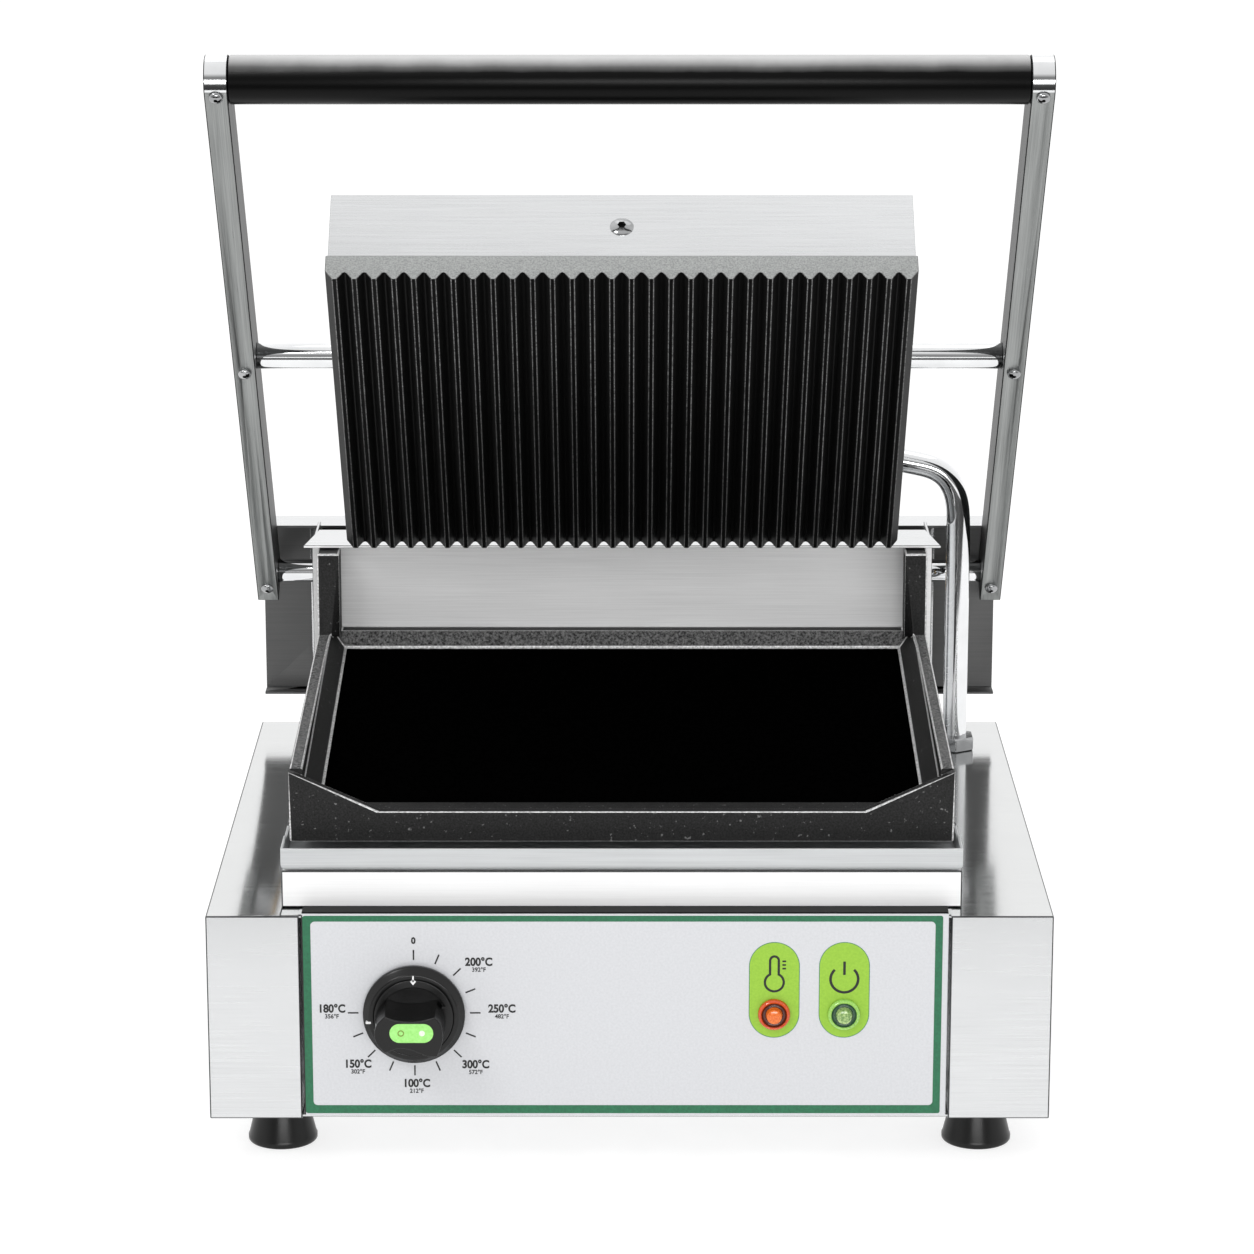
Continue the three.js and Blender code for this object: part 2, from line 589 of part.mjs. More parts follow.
function makeArms() {
  const half = ARM_DEPTH / 2;
  const bar = new THREE.Shape();
  bar.moveTo(-half, -ARM_TAIL);
  bar.lineTo(half, -ARM_TAIL);
  bar.lineTo(half, HANDLE_REACH);
  bar.absarc(0, HANDLE_REACH, half, 0, Math.PI);
  bar.lineTo(-half, -ARM_TAIL);
  const stations = [['axle', 0], ['rod', ROD_REACH], ['handle', HANDLE_REACH]];
  const outside = ARM_OUTSIDE;
  const inside = ARM_OUTSIDE - ARM_THICKNESS;
  for (const [label, side] of SIDES) {
    const x0 = side < 0 ? -outside : inside;
    const x1 = x0 + ARM_THICKNESS;
    const bores = [
      roundX(AXLE_RADIUS + GAP, x0 - 1, x1 + 1, 0, 0),
      roundX(ROD_RADIUS + GAP, x0 - 1, x1 + 1, 0, ROD_REACH),
      roundX(5 + GAP, x0 - 1, x1 + 1, 0, HANDLE_REACH),
    ];
    const middle = (x0 + x1) / 2;
    const tapped = stations.map(([, z]) => roundY(1.9, -half - 1, -half + 4, middle, z, 12));
    place(`lift_arm_${label}`, cut(prismX(bar, x0, x1), ...bores, ...tapped), brushedSteel, arms);
    for (const [station, z] of stations) {
      const screw = turned([
        [0, -3.4], [1.6, -3.4], [1.6, GAP], [3.5, GAP], [3.5, 1.1], [2.4, 2.4], [0, 2.8],
      ], 16);
      const mesh = place(`${station}_set_screw_${label}`, screw, polishedSteel, arms);
      mesh.rotation.x = Math.PI / 2;
      mesh.position.set(middle, -half, z);
    }
  }
  const reach = ARM_OUTSIDE - 0.5;
  place('lower_axle', roundX(AXLE_RADIUS, -reach, reach), polishedSteel, arms);
  const swivel = roundX(ROD_RADIUS, -reach, reach, 0, ROD_REACH);
  place('swivel_rod', swivel, polishedSteel, arms);
  const handle = roundX(5, -reach, reach, 0, HANDLE_REACH, 20);
  place('handle_rod', handle, polishedSteel, arms);
  const gripEnd = inside - GAP;
  const grip = turned([
    [5 + GAP, -gripEnd], [GRIP_RADIUS - 0.6, -gripEnd], [GRIP_RADIUS, -gripEnd + 0.6],
    [GRIP_RADIUS, gripEnd - 0.6], [GRIP_RADIUS - 0.6, gripEnd], [5 + GAP, gripEnd],
    [5 + GAP, -gripEnd],
  ], 32);
  const gripMesh = place('handle_grip', grip, blackPlastic, arms);
  gripMesh.rotation.y = Math.PI / 2;
  gripMesh.position.z = HANDLE_REACH;
}

// The springs hang from short levers on the axle and pull harder as the lid comes down.
function makeSprings() {
  const leverAngle = THREE.MathUtils.degToRad(-85);
  const tipY = AXLE_Y + LEVER_RADIUS * Math.cos(leverAngle);
  const tipZ = AXLE_Z + LEVER_RADIUS * Math.sin(leverAngle);
  for (const [label, side] of SIDES) {
    const x = side * SPRING_X;
    const ring = roundX(10, x - 3, x + 3, 0, 0);
    const finger = box(x - 3, x + 3, 0, LEVER_RADIUS + 3, -3, 3).rotateX(leverAngle);
    const bore = roundX(AXLE_RADIUS + GAP, x - 4, x + 4, 0, 0);
    const lever = place(`spring_lever_${label}`, cut(join(ring, finger), bore), brushedSteel, press);
    lever.position.set(0, AXLE_Y, AXLE_Z);

    const length = tipZ - 5 - SPRING_FOOT_Z;
    const points = [];
    const steps = SPRING_TURNS * 7;
    for (let i = 0; i <= steps; i += 1) {
      const angle = (i / steps) * SPRING_TURNS * 2 * Math.PI;
      points.push(new THREE.Vector3(
        SPRING_RADIUS * Math.cos(angle), SPRING_RADIUS * Math.sin(angle), (i / steps) * length,
      ));
    }
    const coil = place(`counterbalance_spring_${label}`, tube(points, SPRING_WIRE, 6, steps), springSteel);
    coil.position.set(x, tipY, SPRING_FOOT_Z);

    const foot = box(x - 9, x + 9, tipY - 8, tipY + 9, SHEET + GAP, SHEET + GAP + 3);
    const post = box(x - 2, x + 2, tipY - 6, tipY + 6, SHEET + GAP, SPRING_FOOT_Z - 1.6);
    place(`spring_anchor_${label}`, join(foot, post), brushedSteel);
  }
}

// ---------------------------------------------------------------- head

function makeHead() {
  const half = HEAD_WIDTH / 2;
  const pitch = HEAD_WIDTH / RIB_COUNT;
  const edge = [[half, CAST_EDGE], [-half, CAST_EDGE], [-half, 0]];
  for (let rib = 0; rib < RIB_COUNT; rib += 1) {
    const start = -half + rib * pitch;
    edge.push([start + pitch * 0.38, -RIB_DEPTH]);
    edge.push([start + pitch * 0.62, -RIB_DEPTH]);
    edge.push([start + pitch, 0]);
  }
  const plate = prismY(outline(edge), 0, HEAD_LENGTH);
  const recess = box(-142, 142, 9, HEAD_LENGTH - 9, 3.6, CAST_EDGE + 1);
  place('upper_plate', cut(plate, recess), castIron, head);

  const shellHalf = half - 1;
  const bottom = CAST_EDGE + GAP;
  const shell = box(-shellHalf, shellHalf, 1.5, HEAD_LENGTH - 1.5, bottom, HEAD_HEIGHT);
  const hollow = box(
    -shellHalf + SHEET, shellHalf - SHEET, 1.5 + SHEET, HEAD_LENGTH - 1.5 - SHEET,
    bottom - 1, HEAD_HEIGHT - SHEET,
  );
  const rodHole = roundX(9.2, -half - 1, half + 1, HEAD_ROD_RUN, HEAD_ROD_HEIGHT);
  const screwHole = roundY(2.6, 0, 5, 0, 32, 12);
  const conduitHole = roundZ(7.6, HEAD_HEIGHT - 3, HEAD_HEIGHT + 1, 99, 160);
  place('upper_housing', cut(shell, hollow, rodHole, screwHole, conduitHole), brushedSteel, head);

  for (const [label, side] of SIDES) {
    const x = side * 138;
    const cheek = outline([
      [HEAD_ROD_RUN - 22, CAST_EDGE + GAP], [HEAD_ROD_RUN + 22, CAST_EDGE + GAP],
      [HEAD_ROD_RUN + 12, 51.5], [HEAD_ROD_RUN - 12, 51.5],
    ]);
    const bore = roundX(9, x - 9, x + 9, HEAD_ROD_RUN, HEAD_ROD_HEIGHT);
    const bracket = cut(prismX(cheek, x - 2.5, x + 2.5), bore, box(
      x - 4, x + 4, HEAD_ROD_RUN - 9, HEAD_ROD_RUN + 9, HEAD_ROD_HEIGHT, 53,
    ));
    place(`head_bracket_${label}`, bracket, brushedSteel, head);
    const bush = turned([
      [ROD_RADIUS + GAP, -6], [8.7, -6], [8.7, 6], [ROD_RADIUS + GAP, 6], [ROD_RADIUS + GAP, -6],
    ], 24);
    const bushMesh = place(`swivel_bush_${label}`, bush, brass, head);
    bushMesh.rotation.y = Math.PI / 2;
    bushMesh.position.set(x, HEAD_ROD_RUN, HEAD_ROD_HEIGHT);
  }

  const screw = turned([
    [0, -8], [2.3, -8], [2.3, GAP], [7, GAP], [7, 1.6], [4.6, 4.2], [0, 4.6],
  ], 20);
  const screwMesh = place('housing_screw', screw, polishedSteel, head);
  screwMesh.rotation.x = Math.PI / 2;
  screwMesh.position.set(0, 1.5, 32);
}

// ---------------------------------------------------------------- conduit

function makeConduit() {
  const rise = CONDUIT_TOP_Z - CONDUIT_BEND;
  const centreX = CONDUIT_X - CONDUIT_BEND;
  const points = [];
  for (const z of [BASE_HEIGHT + GAP, 150, 190, 225]) {
    points.push(new THREE.Vector3(CONDUIT_X, CONDUIT_Y, z));
  }
  for (let i = 0; i <= 4; i += 1) {
    const angle = (i / 4) * Math.PI / 2;
    points.push(new THREE.Vector3(
      centreX + CONDUIT_BEND * Math.cos(angle), CONDUIT_Y, rise + CONDUIT_BEND * Math.sin(angle),
    ));
  }
  points.push(headPoint(132, 226, 68));
  points.push(headPoint(113, 210, 78));
  points.push(headPoint(102, 188, 84));
  points.push(headPoint(99, 168, 78));
  points.push(headPoint(99, 160, 66));
  points.push(headPoint(99, 160, HEAD_HEIGHT + GAP));
  place('wire_conduit', tube(points, CONDUIT_RADIUS, 10, 46), polishedSteel);

  const nut = turned([
    [CONDUIT_RADIUS + GAP + 0.4, GAP], [12, GAP], [12, 5], [10, 8], [CONDUIT_RADIUS + GAP + 0.4, 8],
    [CONDUIT_RADIUS + GAP + 0.4, GAP],
  ], 12);
  const baseNut = place('conduit_base_nut', nut, polishedSteel);
  baseNut.position.set(CONDUIT_X, CONDUIT_Y, BASE_HEIGHT);
  const headNut = place('conduit_head_nut', nut.clone(), polishedSteel, head);
  headNut.position.set(99, 160, HEAD_HEIGHT);
}

makeBase();
makePanel();
makeFeet();
makeControls();
makeWiring();
makePlinth();
makeTray();
makeUpright();
makeRearCover();
makeLowerPlate();
makeHeaters();
makeArms();
makeSprings();
makeHead();
makeConduit();

// Stand the press on its feet, with its middle over the origin.
const frontReach = -KNOB_REACH - GAP;
const backReach = BASE_DEPTH + 12;
press.position.set(0, -(frontReach + backReach) / 2, FOOT_HEIGHT);

export default press;
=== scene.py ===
# %% [markdown]
# # A contact grill in stainless steel and cast iron
#
# The grill is already designed: its frame holds every part at its real size and place. This
# lesson dresses that frame. Folded sheet gets its soft fold lines, cast iron its bare edges,
# turned parts their round surfaces, and every finish is built from nodes.

# %% Load the frame
import json
import math

import bmesh
import bpy
from mathutils import Matrix, Vector


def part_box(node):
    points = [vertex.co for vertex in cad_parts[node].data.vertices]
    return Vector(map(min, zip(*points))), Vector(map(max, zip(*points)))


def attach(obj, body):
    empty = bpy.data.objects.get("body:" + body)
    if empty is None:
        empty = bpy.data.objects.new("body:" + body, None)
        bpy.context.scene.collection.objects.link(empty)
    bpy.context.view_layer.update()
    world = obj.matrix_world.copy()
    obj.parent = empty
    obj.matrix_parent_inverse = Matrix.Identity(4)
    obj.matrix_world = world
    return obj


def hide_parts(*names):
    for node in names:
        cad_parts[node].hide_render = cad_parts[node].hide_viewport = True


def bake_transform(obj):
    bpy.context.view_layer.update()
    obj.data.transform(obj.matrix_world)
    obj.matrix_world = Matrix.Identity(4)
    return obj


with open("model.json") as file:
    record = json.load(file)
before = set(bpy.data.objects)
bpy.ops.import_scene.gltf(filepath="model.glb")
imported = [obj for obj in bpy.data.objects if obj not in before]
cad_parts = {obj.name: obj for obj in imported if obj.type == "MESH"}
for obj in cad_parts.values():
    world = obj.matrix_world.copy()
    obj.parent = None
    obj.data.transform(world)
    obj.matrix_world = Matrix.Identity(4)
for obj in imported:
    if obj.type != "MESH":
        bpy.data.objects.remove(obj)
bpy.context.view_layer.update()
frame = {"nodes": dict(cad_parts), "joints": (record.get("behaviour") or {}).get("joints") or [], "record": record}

MM = 0.001
scene = bpy.context.scene

# %% [markdown]
# ## Where things are
#
# Every place comes from the frame. The two hinges give the lean of the lift arms, and from the
# arms' own directions the screws and the polished arm ends find their places.

# %% Places and directions
joints = {joint["name"]: joint for joint in frame["joints"]}
axle = Vector(joints["lid_hinge"]["pos_m"])
swivel = Vector(joints["head_swivel"]["pos_m"])
ROD_REACH = (swivel - axle).length
ARM_UP = (swivel - axle).normalized()
ARM_FRONT = Vector((0, -ARM_UP.z, ARM_UP.y))
HANDLE_REACH = ROD_REACH + 210.7 * MM
HEAD_TILT = math.radians(-51.63)
HEAD_BACK = Vector((0, math.cos(HEAD_TILT), math.sin(HEAD_TILT)))
HEAD_UP = Vector((0, -math.sin(HEAD_TILT), math.cos(HEAD_TILT)))


def middle(node):
    low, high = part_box(node)
    return (low + high) / 2


print("arm direction", [round(v, 3) for v in ARM_UP], "handle reach", round(HANDLE_REACH, 4))

# %% [markdown]
# ## Node helpers
#
# Colours are written as the hex values that a designer would pick, and one function turns them
# into the linear light that the shader needs. A second function adds any node, sets its values
# and its colour stops and links it, so that each finish below reads as a short list of steps.


# %% Colour and node helpers
def linear(hex_colour):
    channels = [int(hex_colour[i:i + 2], 16) / 255 for i in (1, 3, 5)]
    return [c / 12.92 if c <= 0.04045 else ((c + 0.055) / 1.055) ** 2.4 for c in channels] + [1]


def add(tree, kind, settings=None, stops=(), to=None, **inputs):
    node = tree.nodes.new(kind)
    for key, value in (settings or {}).items():
        setattr(node, key, value)
    for index, (position, hex_colour) in enumerate(stops):
        elements = node.color_ramp.elements
        element = elements[index] if index < len(elements) else elements.new(position)
        element.position, element.color = position, linear(hex_colour)
    for key, value in inputs.items():
        socket = node.inputs[int(key[1:])] if key[0] == "i" and key[1:].isdigit() else node.inputs[key]
        if isinstance(value, bpy.types.NodeSocket):
            tree.links.new(value, socket)
        else:
            socket.default_value = value
    if to:
        tree.links.new(node.outputs[0], to)
    return node


def new_finish(name, **sockets):
    material = bpy.data.materials.new(name)
    material.use_nodes = True
    tree = material.node_tree
    shader = tree.nodes["Principled BSDF"]
    for key, value in sockets.items():
        shader.inputs[key.replace("_", " ")].default_value = value
    return material, tree, shader


# %% [markdown]
# ## Brushed stainless steel
#
# Real brushed sheet carries fine parallel scratches from an abrasive belt. They spread the
# reflection across the grain. The scratches here are noise drawn out long along one axis and
# kept short across it. Real scratches are about 0.05 mm apart, too fine to show, so they are
# drawn about 0.7 mm apart. On faces that look sideways the grain runs front to back instead, and
# the object-space normal picks which of the two a face gets.


# %% Brushed stainless
def grain(tree, coordinates, along, across_mm, along_mm, turn=(0, 0, 0)):
    scale = [1 / (across_mm * MM)] * 3
    scale[along] = 1 / (along_mm * MM)
    placed = add(tree, "ShaderNodeMapping", Vector=coordinates, Rotation=turn)
    stretched = add(tree, "ShaderNodeMapping", Vector=placed.outputs[0], Scale=scale)
    noise = add(
        tree, "ShaderNodeTexNoise", Vector=stretched.outputs[0], Scale=1.0, Detail=3.0, Roughness=0.6,
    )
    return noise.outputs[0]


def brushed(
    name, light, dark, roughness=0.3, along=0, turn=(0, 0, 0), relief_mm=0.012, metallic=1.0,
):
    material, tree, shader = new_finish(name, Metallic=metallic, Roughness=roughness)
    place = add(tree, "ShaderNodeTexCoord")
    lines = grain(tree, place.outputs["Object"], along, 0.7, 60, turn)
    if along == 0:
        side_lines = grain(tree, place.outputs["Object"], 1, 0.7, 60)
        facing = add(tree, "ShaderNodeSeparateXYZ", Vector=place.outputs["Normal"])
        sideways = add(tree, "ShaderNodeMath", {"operation": "ABSOLUTE"}, i0=facing.outputs[0])
        pick = add(
            tree, "ShaderNodeMath", {"operation": "GREATER_THAN"}, i0=sideways.outputs[0], i1=0.6,
        )
        mixed = add(tree, "ShaderNodeMix", i0=pick.outputs[0], i2=lines, i3=side_lines)
        lines = mixed.outputs[0]
    cloud = add(tree, "ShaderNodeTexNoise", Vector=place.outputs["Object"], Scale=14.0, Detail=2.0)
    blend = add(tree, "ShaderNodeMix", i0=0.25, i2=lines, i3=cloud.outputs[0])
    tint, rough, normal = [shader.inputs[key] for key in ("Base Color", "Roughness", "Normal")]
    add(tree, "ShaderNodeValToRGB", stops=[(0.32, dark), (0.68, light)], to=tint, Fac=blend.outputs[0])
    add(
        tree, "ShaderNodeMapRange", to=rough, Value=lines, i1=0.3, i2=0.7, i3=roughness - 0.05,
        i4=roughness + 0.07,
    )
    add(tree, "ShaderNodeBump", to=normal, Height=lines, Distance=relief_mm * MM, Strength=0.6)
    return material


# Belt-ground stainless sheet, bright and even: the base, the head and the tray.
steel_sheet = brushed("belt_ground_stainless_sheet", "#DFE0E1", "#D2D3D4", 0.22)
# The same sheet behind the pan, rougher, and painted nearly white with little metal: painted light that lifts the
# shade under the head.
steel_splash = brushed("painted_light_stainless_splash", "#FBFBFB", "#ECECEC", 0.5, metallic=0.1)
# The plinth is the brightest sheet: a whiter copy of the sheet, painted light where it is turned to the light.
steel_plinth = brushed("painted_light_plinth_sheet", "#F4F4F4", "#ECECEC", 0.5, metallic=0.3)
# The head's box is the same sheet, a shade darker.
steel_head = brushed("belt_ground_head_sheet", "#D3D4D5", "#C7C8C9", 0.28)
# Solid bar, ground lengthwise: darker, with clear long scratches.
arm_lean = math.atan2(-ARM_UP.y, ARM_UP.z)
steel_bar = brushed(
    "lengthwise_ground_steel_bar", "#ABADAC", "#868887", 0.32, along=2, turn=(-arm_lean, 0, 0),
)
# The flanks of the bars are painted near black, a painted dark reflection of the shop; the same paint is painted
# shade on their rounded edges.
steel_flank = brushed("painted_dark_reflection_flank", "#3A3B3B", "#232424", 0.42, along=2, turn=(-arm_lean, 0, 0))
# A fold turns light away from the eye; its rounded faces are painted dark, painted shade that reads as a fine dark
# line around each face.
steel_fold = brushed("painted_shade_fold_line", "#5E5F60", "#444546", 0.4)
# The base's top is wiped smooth, so it mirrors what stands behind it.
steel_top = brushed("smooth_wiped_base_top", "#D8D9D9", "#CFD0D0", 0.11, relief_mm=0.004)
# Hidden sheet at the back, painted dark grey: a painted dark reflection for stainless that mirrors the dark parts
# in front of it.
steel_dark = brushed("painted_dark_reflection_sheet", "#6C6C6C", "#5E5E5E", 0.55)
print("brushed finishes made")

# %% [markdown]
# ## Polished steel, brass and springs
#
# Turned and polished bars reflect the room almost like a mirror. What keeps them from looking
# like computer chrome is a little unevenness: a faint cloud in the tone and the roughness, and a
# relief of the same cloud only a few thousandths of a millimetre deep.


# %% Polished metals
def polished(name, light, dark, roughness, cloud_mm=9):
    material, tree, shader = new_finish(name, Metallic=1.0, Roughness=roughness)
    spot = add(tree, "ShaderNodeTexCoord").outputs["Object"]
    cloud = add(tree, "ShaderNodeTexNoise", Vector=spot, Scale=1 / (cloud_mm * MM), Detail=4.0)
    height = cloud.outputs[0]
    tint, rough, normal = [shader.inputs[key] for key in ("Base Color", "Roughness", "Normal")]
    add(tree, "ShaderNodeValToRGB", stops=[(0.35, dark), (0.65, light)], to=tint, Fac=height)
    add(
        tree, "ShaderNodeMapRange", to=rough, Value=height, i1=0.3, i2=0.7, i3=roughness * 0.7,
        i4=roughness * 1.4,
    )
    add(tree, "ShaderNodeBump", to=normal, Height=height, Distance=0.004 * MM, Strength=0.2)
    return material


steel_polished = polished("polished_stainless_bar", "#EEEFF0", "#E2E3E4", 0.07, 25)
steel_screw = polished("polished_screw_steel", "#B4B5B6", "#9C9D9E", 0.14, 12)
brass_turned = polished("turned_brass", "#C9A45A", "#A98643", 0.28)
spring_wire = polished("drawn_spring_wire", "#A4A5A6", "#7C7D7E", 0.30, 2)

# %% [markdown]
# ## Cast iron
#
# Sand casting leaves a skin of fine grains. Black seasoning fills it, and wherever the casting is
# handled the edges rub bare and shine. Three finishes share one recipe: the black skin, the
# smooth seasoned cooking face, and the bare ground edge. Grain size is about 1.2 mm here; sand
# grain is nearer 0.3 mm, which would not show.


# %% Cast iron
def cast(name, light, dark, roughness, metallic, grain_mm, relief_mm, specks=None, specular=0.5):
    material, tree, shader = new_finish(
        name, Metallic=metallic, Roughness=roughness, Specular_IOR_Level=specular,
    )
    spot = add(tree, "ShaderNodeTexCoord").outputs["Object"]
    fine = add(
        tree, "ShaderNodeTexNoise", Vector=spot, Scale=1 / (grain_mm * MM), Detail=4.0, Roughness=0.65,
    )
    skin = add(tree, "ShaderNodeValToRGB", stops=[(0.36, dark), (0.66, light)], Fac=fine.outputs[0])
    colour = skin.outputs[0]
    if specks:
        pits = add(tree, "ShaderNodeTexNoise", Vector=spot, Scale=1 / (2.2 * MM), Detail=2.0).outputs[0]
        stops = [(0.68, "#000000"), (0.75, "#FFFFFF")]
        spark = add(tree, "ShaderNodeValToRGB", stops=stops, Fac=pits).outputs[0]
        mixed = add(
            tree, "ShaderNodeMix", {"data_type": "RGBA"}, i0=spark, i6=colour, i7=linear(specks),
        )
        colour = mixed.outputs[2]
    tree.links.new(colour, shader.inputs["Base Color"])
    add(
        tree, "ShaderNodeBump", to=shader.inputs["Normal"], Height=fine.outputs[0],
        Distance=relief_mm * MM, Strength=0.8,
    )
    return material


iron_skin = cast("sand_cast_iron_skin", "#242424", "#080808", 0.6, 0.1, 1.0, 0.2, "#6C6C6C", 0.3)
iron_face = cast("seasoned_smooth_iron", "#030303", "#010101", 0.7, 0.0, 2.5, 0.02, None, 0.0)
iron_ribs = cast("seasoned_ribbed_iron", "#0C0C0C", "#040404", 0.42, 0.1, 0.9, 0.05, None, 0.2)
iron_rim = cast("rubbed_sand_cast_rim", "#7C7C7C", "#161616", 0.5, 0.4, 1.3, 0.25)
iron_bare = cast("rubbed_bare_iron", "#ECECEC", "#9A9A9A", 0.4, 0.3, 1.2, 0.05)
iron_edge = cast("ground_cast_edge", "#B9BBBA", "#8F9190", 0.48, 0.75, 0.8, 0.10)
# Grey along the rib edges: a painted highlight.
iron_rib_edge = cast("painted_highlight_rib_edge", "#8A8A8A", "#2E2E2E", 0.4, 0.6, 1.1, 0.06)

# %% [markdown]
# ## Plastics, rubber, board and print
#
# Moulded black plastic is never quite black: it has a soft sheen and a faint orange-peel from the
# mould. Rubber is the same idea with a much rougher surface. Printed inks lie almost flat, and
# the speckle of the screen shows as a slight change of tone.


# %% Moulded and printed finishes
def moulded(name, light, dark, roughness, peel_mm=1.5, relief_mm=0.02, **sockets):
    material, tree, shader = new_finish(name, Roughness=roughness, **sockets)
    spot = add(tree, "ShaderNodeTexCoord").outputs["Object"]
    peel = add(tree, "ShaderNodeTexNoise", Vector=spot, Scale=1 / (peel_mm * MM), Detail=3.0)
    tint, normal, height = shader.inputs["Base Color"], shader.inputs["Normal"], peel.outputs[0]
    add(tree, "ShaderNodeValToRGB", stops=[(0.3, dark), (0.7, light)], to=tint, Fac=height)
    add(tree, "ShaderNodeBump", to=normal, Height=height, Distance=relief_mm * MM, Strength=0.5)
    return material


knob_plastic = moulded(
    "moulded_black_phenolic", "#090909", "#040404", 0.24, 1.5, 0.02, Specular_IOR_Level=0.4,
)
# The upper side of the grip is painted grey by its normal, a painted sheen for the light above; below, the black
# stays deep.
grip_plastic, tree, shader = new_finish(
    "painted_sheen_black_acetal", Roughness=0.3, Specular_IOR_Level=0.12,
)
place = add(tree, "ShaderNodeTexCoord")
upward = add(tree, "ShaderNodeSeparateXYZ", Vector=place.outputs["Normal"])
grip_noise = add(tree, "ShaderNodeTexNoise", Vector=place.outputs["Object"], Scale=60.0, Detail=3.0)
uneven = add(
    tree, "ShaderNodeMath", {"operation": "MULTIPLY_ADD"}, i0=grip_noise.outputs[0], i1=0.12,
    i2=upward.outputs[2],
)
# Painted sheen: faces that look up are painted grey, those that look down stay black.
add(
    tree, "ShaderNodeValToRGB", stops=[(0.46, "#050505"), (0.66, "#5C5C5C"), (1.0, "#C4C4C4")],
    to=shader.inputs["Base Color"], Fac=uneven.outputs[0],
)
add(
    tree, "ShaderNodeBump", to=shader.inputs["Normal"], Height=grip_noise.outputs[0], Distance=0.01 * MM,
    Strength=0.3,
)
foot_rubber = moulded(
    "moulded_black_rubber", "#070707", "#030303", 0.3, 1.0, 0.03, Specular_IOR_Level=0.35,
)
panel_film = moulded("printed_polyester_film", "#CCCDD0", "#C4C5C8", 0.40, 1.2, 0.008)
green_ink = moulded("green_screen_ink", "#1C6E49", "#175C3D", 0.45, 1.0, 0.005)
lime_ink = moulded("lime_screen_ink", "#93C033", "#88B62B", 0.42, 1.0, 0.005)
lime_edge_ink = moulded("dark_green_outline_ink", "#2F7A5A", "#256A4C", 0.42, 1.0, 0.004)
black_ink = moulded("black_screen_ink", "#121212", "#080808", 0.45, 1.0, 0.004)
white_ink = moulded("white_pad_print", "#F4F4F4", "#E6E6E6", 0.5, 1.0, 0.004)
lime_plastic = moulded("moulded_light_green_plastic", "#A4E584", "#90D86C", 0.30, 1.2, 0.01)
orange_lens = moulded(
    "clear_orange_lens", "#D8500F", "#B93A0A", 0.14, 1.0, 0.01, Coat_Weight=0.6,
)
orange_core = moulded("lit_orange_core", "#EE7A26", "#C9560F", 0.2, 0.8, 0.05, Coat_Weight=0.5)
# The orange groove's dark tone is painted shade.
orange_groove = moulded("painted_shade_orange_groove", "#5A1C0C", "#3A0F06", 0.25, 0.8, 0.04, Coat_Weight=0.4)
green_lens = moulded("clear_green_lens", "#A8D86A", "#7FB84A", 0.12, 1.0, 0.01, Coat_Weight=0.6)
green_core = moulded("faceted_green_core", "#B4CE86", "#4F7A34", 0.15, 1.2, 0.08, Coat_Weight=0.6)
# The green groove's dark tone is painted shade.
green_groove = moulded("painted_shade_green_groove", "#2E5A3C", "#22402C", 0.22, 0.8, 0.04, Coat_Weight=0.4)
board = moulded("pressed_mineral_board", "#D6D0C2", "#BDB6A6", 0.85, 2.0, 0.08)
print("materials made:", len(bpy.data.materials))

# %% [markdown]
# ## Carrying the frame's finishes
#
# Every part of the frame gets a finish by its material slot, so even the parts inside the base
# look like what they are when somebody opens it.

# %% Finishes by slot
BY_SLOT = {
    "brushed_steel": steel_sheet,
    "polished_steel": steel_polished,
    "cast_iron": iron_skin,
    "dark_sheet": steel_dark,
    "black_plastic": knob_plastic,
    "black_rubber": foot_rubber,
    "panel_film": steel_sheet,
    "lime_plastic": lime_plastic,
    "orange_lens": orange_lens,
    "green_lens": green_lens,
    "brass": brass_turned,
    "mineral_board": board,
    "spring_steel": spring_wire,
}
slot_of = {row["node"]: row["material_slot"] for row in frame["record"]["subparts"]}
bodies = frame["record"]["behaviour"]["bodies"]
body_of = {node: body for body, nodes in bodies.items() for node in nodes}
for node, part in frame["nodes"].items():
    part.data.materials.clear()
    part.data.materials.append(BY_SLOT[slot_of[node]])
print("finishes given to", len(frame["nodes"]), "parts of the frame")

# %% [markdown]
# ## Making pieces
#
# Three helpers make nearly everything. `settle` turns an edited mesh into a piece that rides on
# its body. `softened` copies a part of the frame, joins its loose triangles back into flat faces
# and rounds its edges, as folding or casting does. `spun` spins a profile around an axis, as a
# lathe does.


# %% Piece helpers
def settle(bm, name, node, materials, smooth=35, replace=True, bends=False):
    mesh = bpy.data.meshes.new(name)
    bm.to_mesh(mesh)
    bm.free()
    for material in materials:
        mesh.materials.append(material)
    mesh.polygons.foreach_set("use_smooth", [True] * len(mesh.polygons))
    mesh.set_sharp_from_angle(angle=math.radians(smooth))
    piece = bpy.data.objects.new(name, mesh)
    scene.collection.objects.link(piece)
    if not bends:
        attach(piece, body_of[node])
    if replace:
        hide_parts(node)
    return piece


def merged_copy(node):
    bm = bmesh.new()
    bm.from_mesh(frame["nodes"][node].data)
    bmesh.ops.remove_doubles(bm, verts=bm.verts, dist=0.02 * MM)
    bmesh.ops.dissolve_limit(bm, angle_limit=math.radians(1), verts=bm.verts, edges=bm.edges)
    bmesh.ops.connect_verts_concave(bm, faces=bm.faces)
    return bm


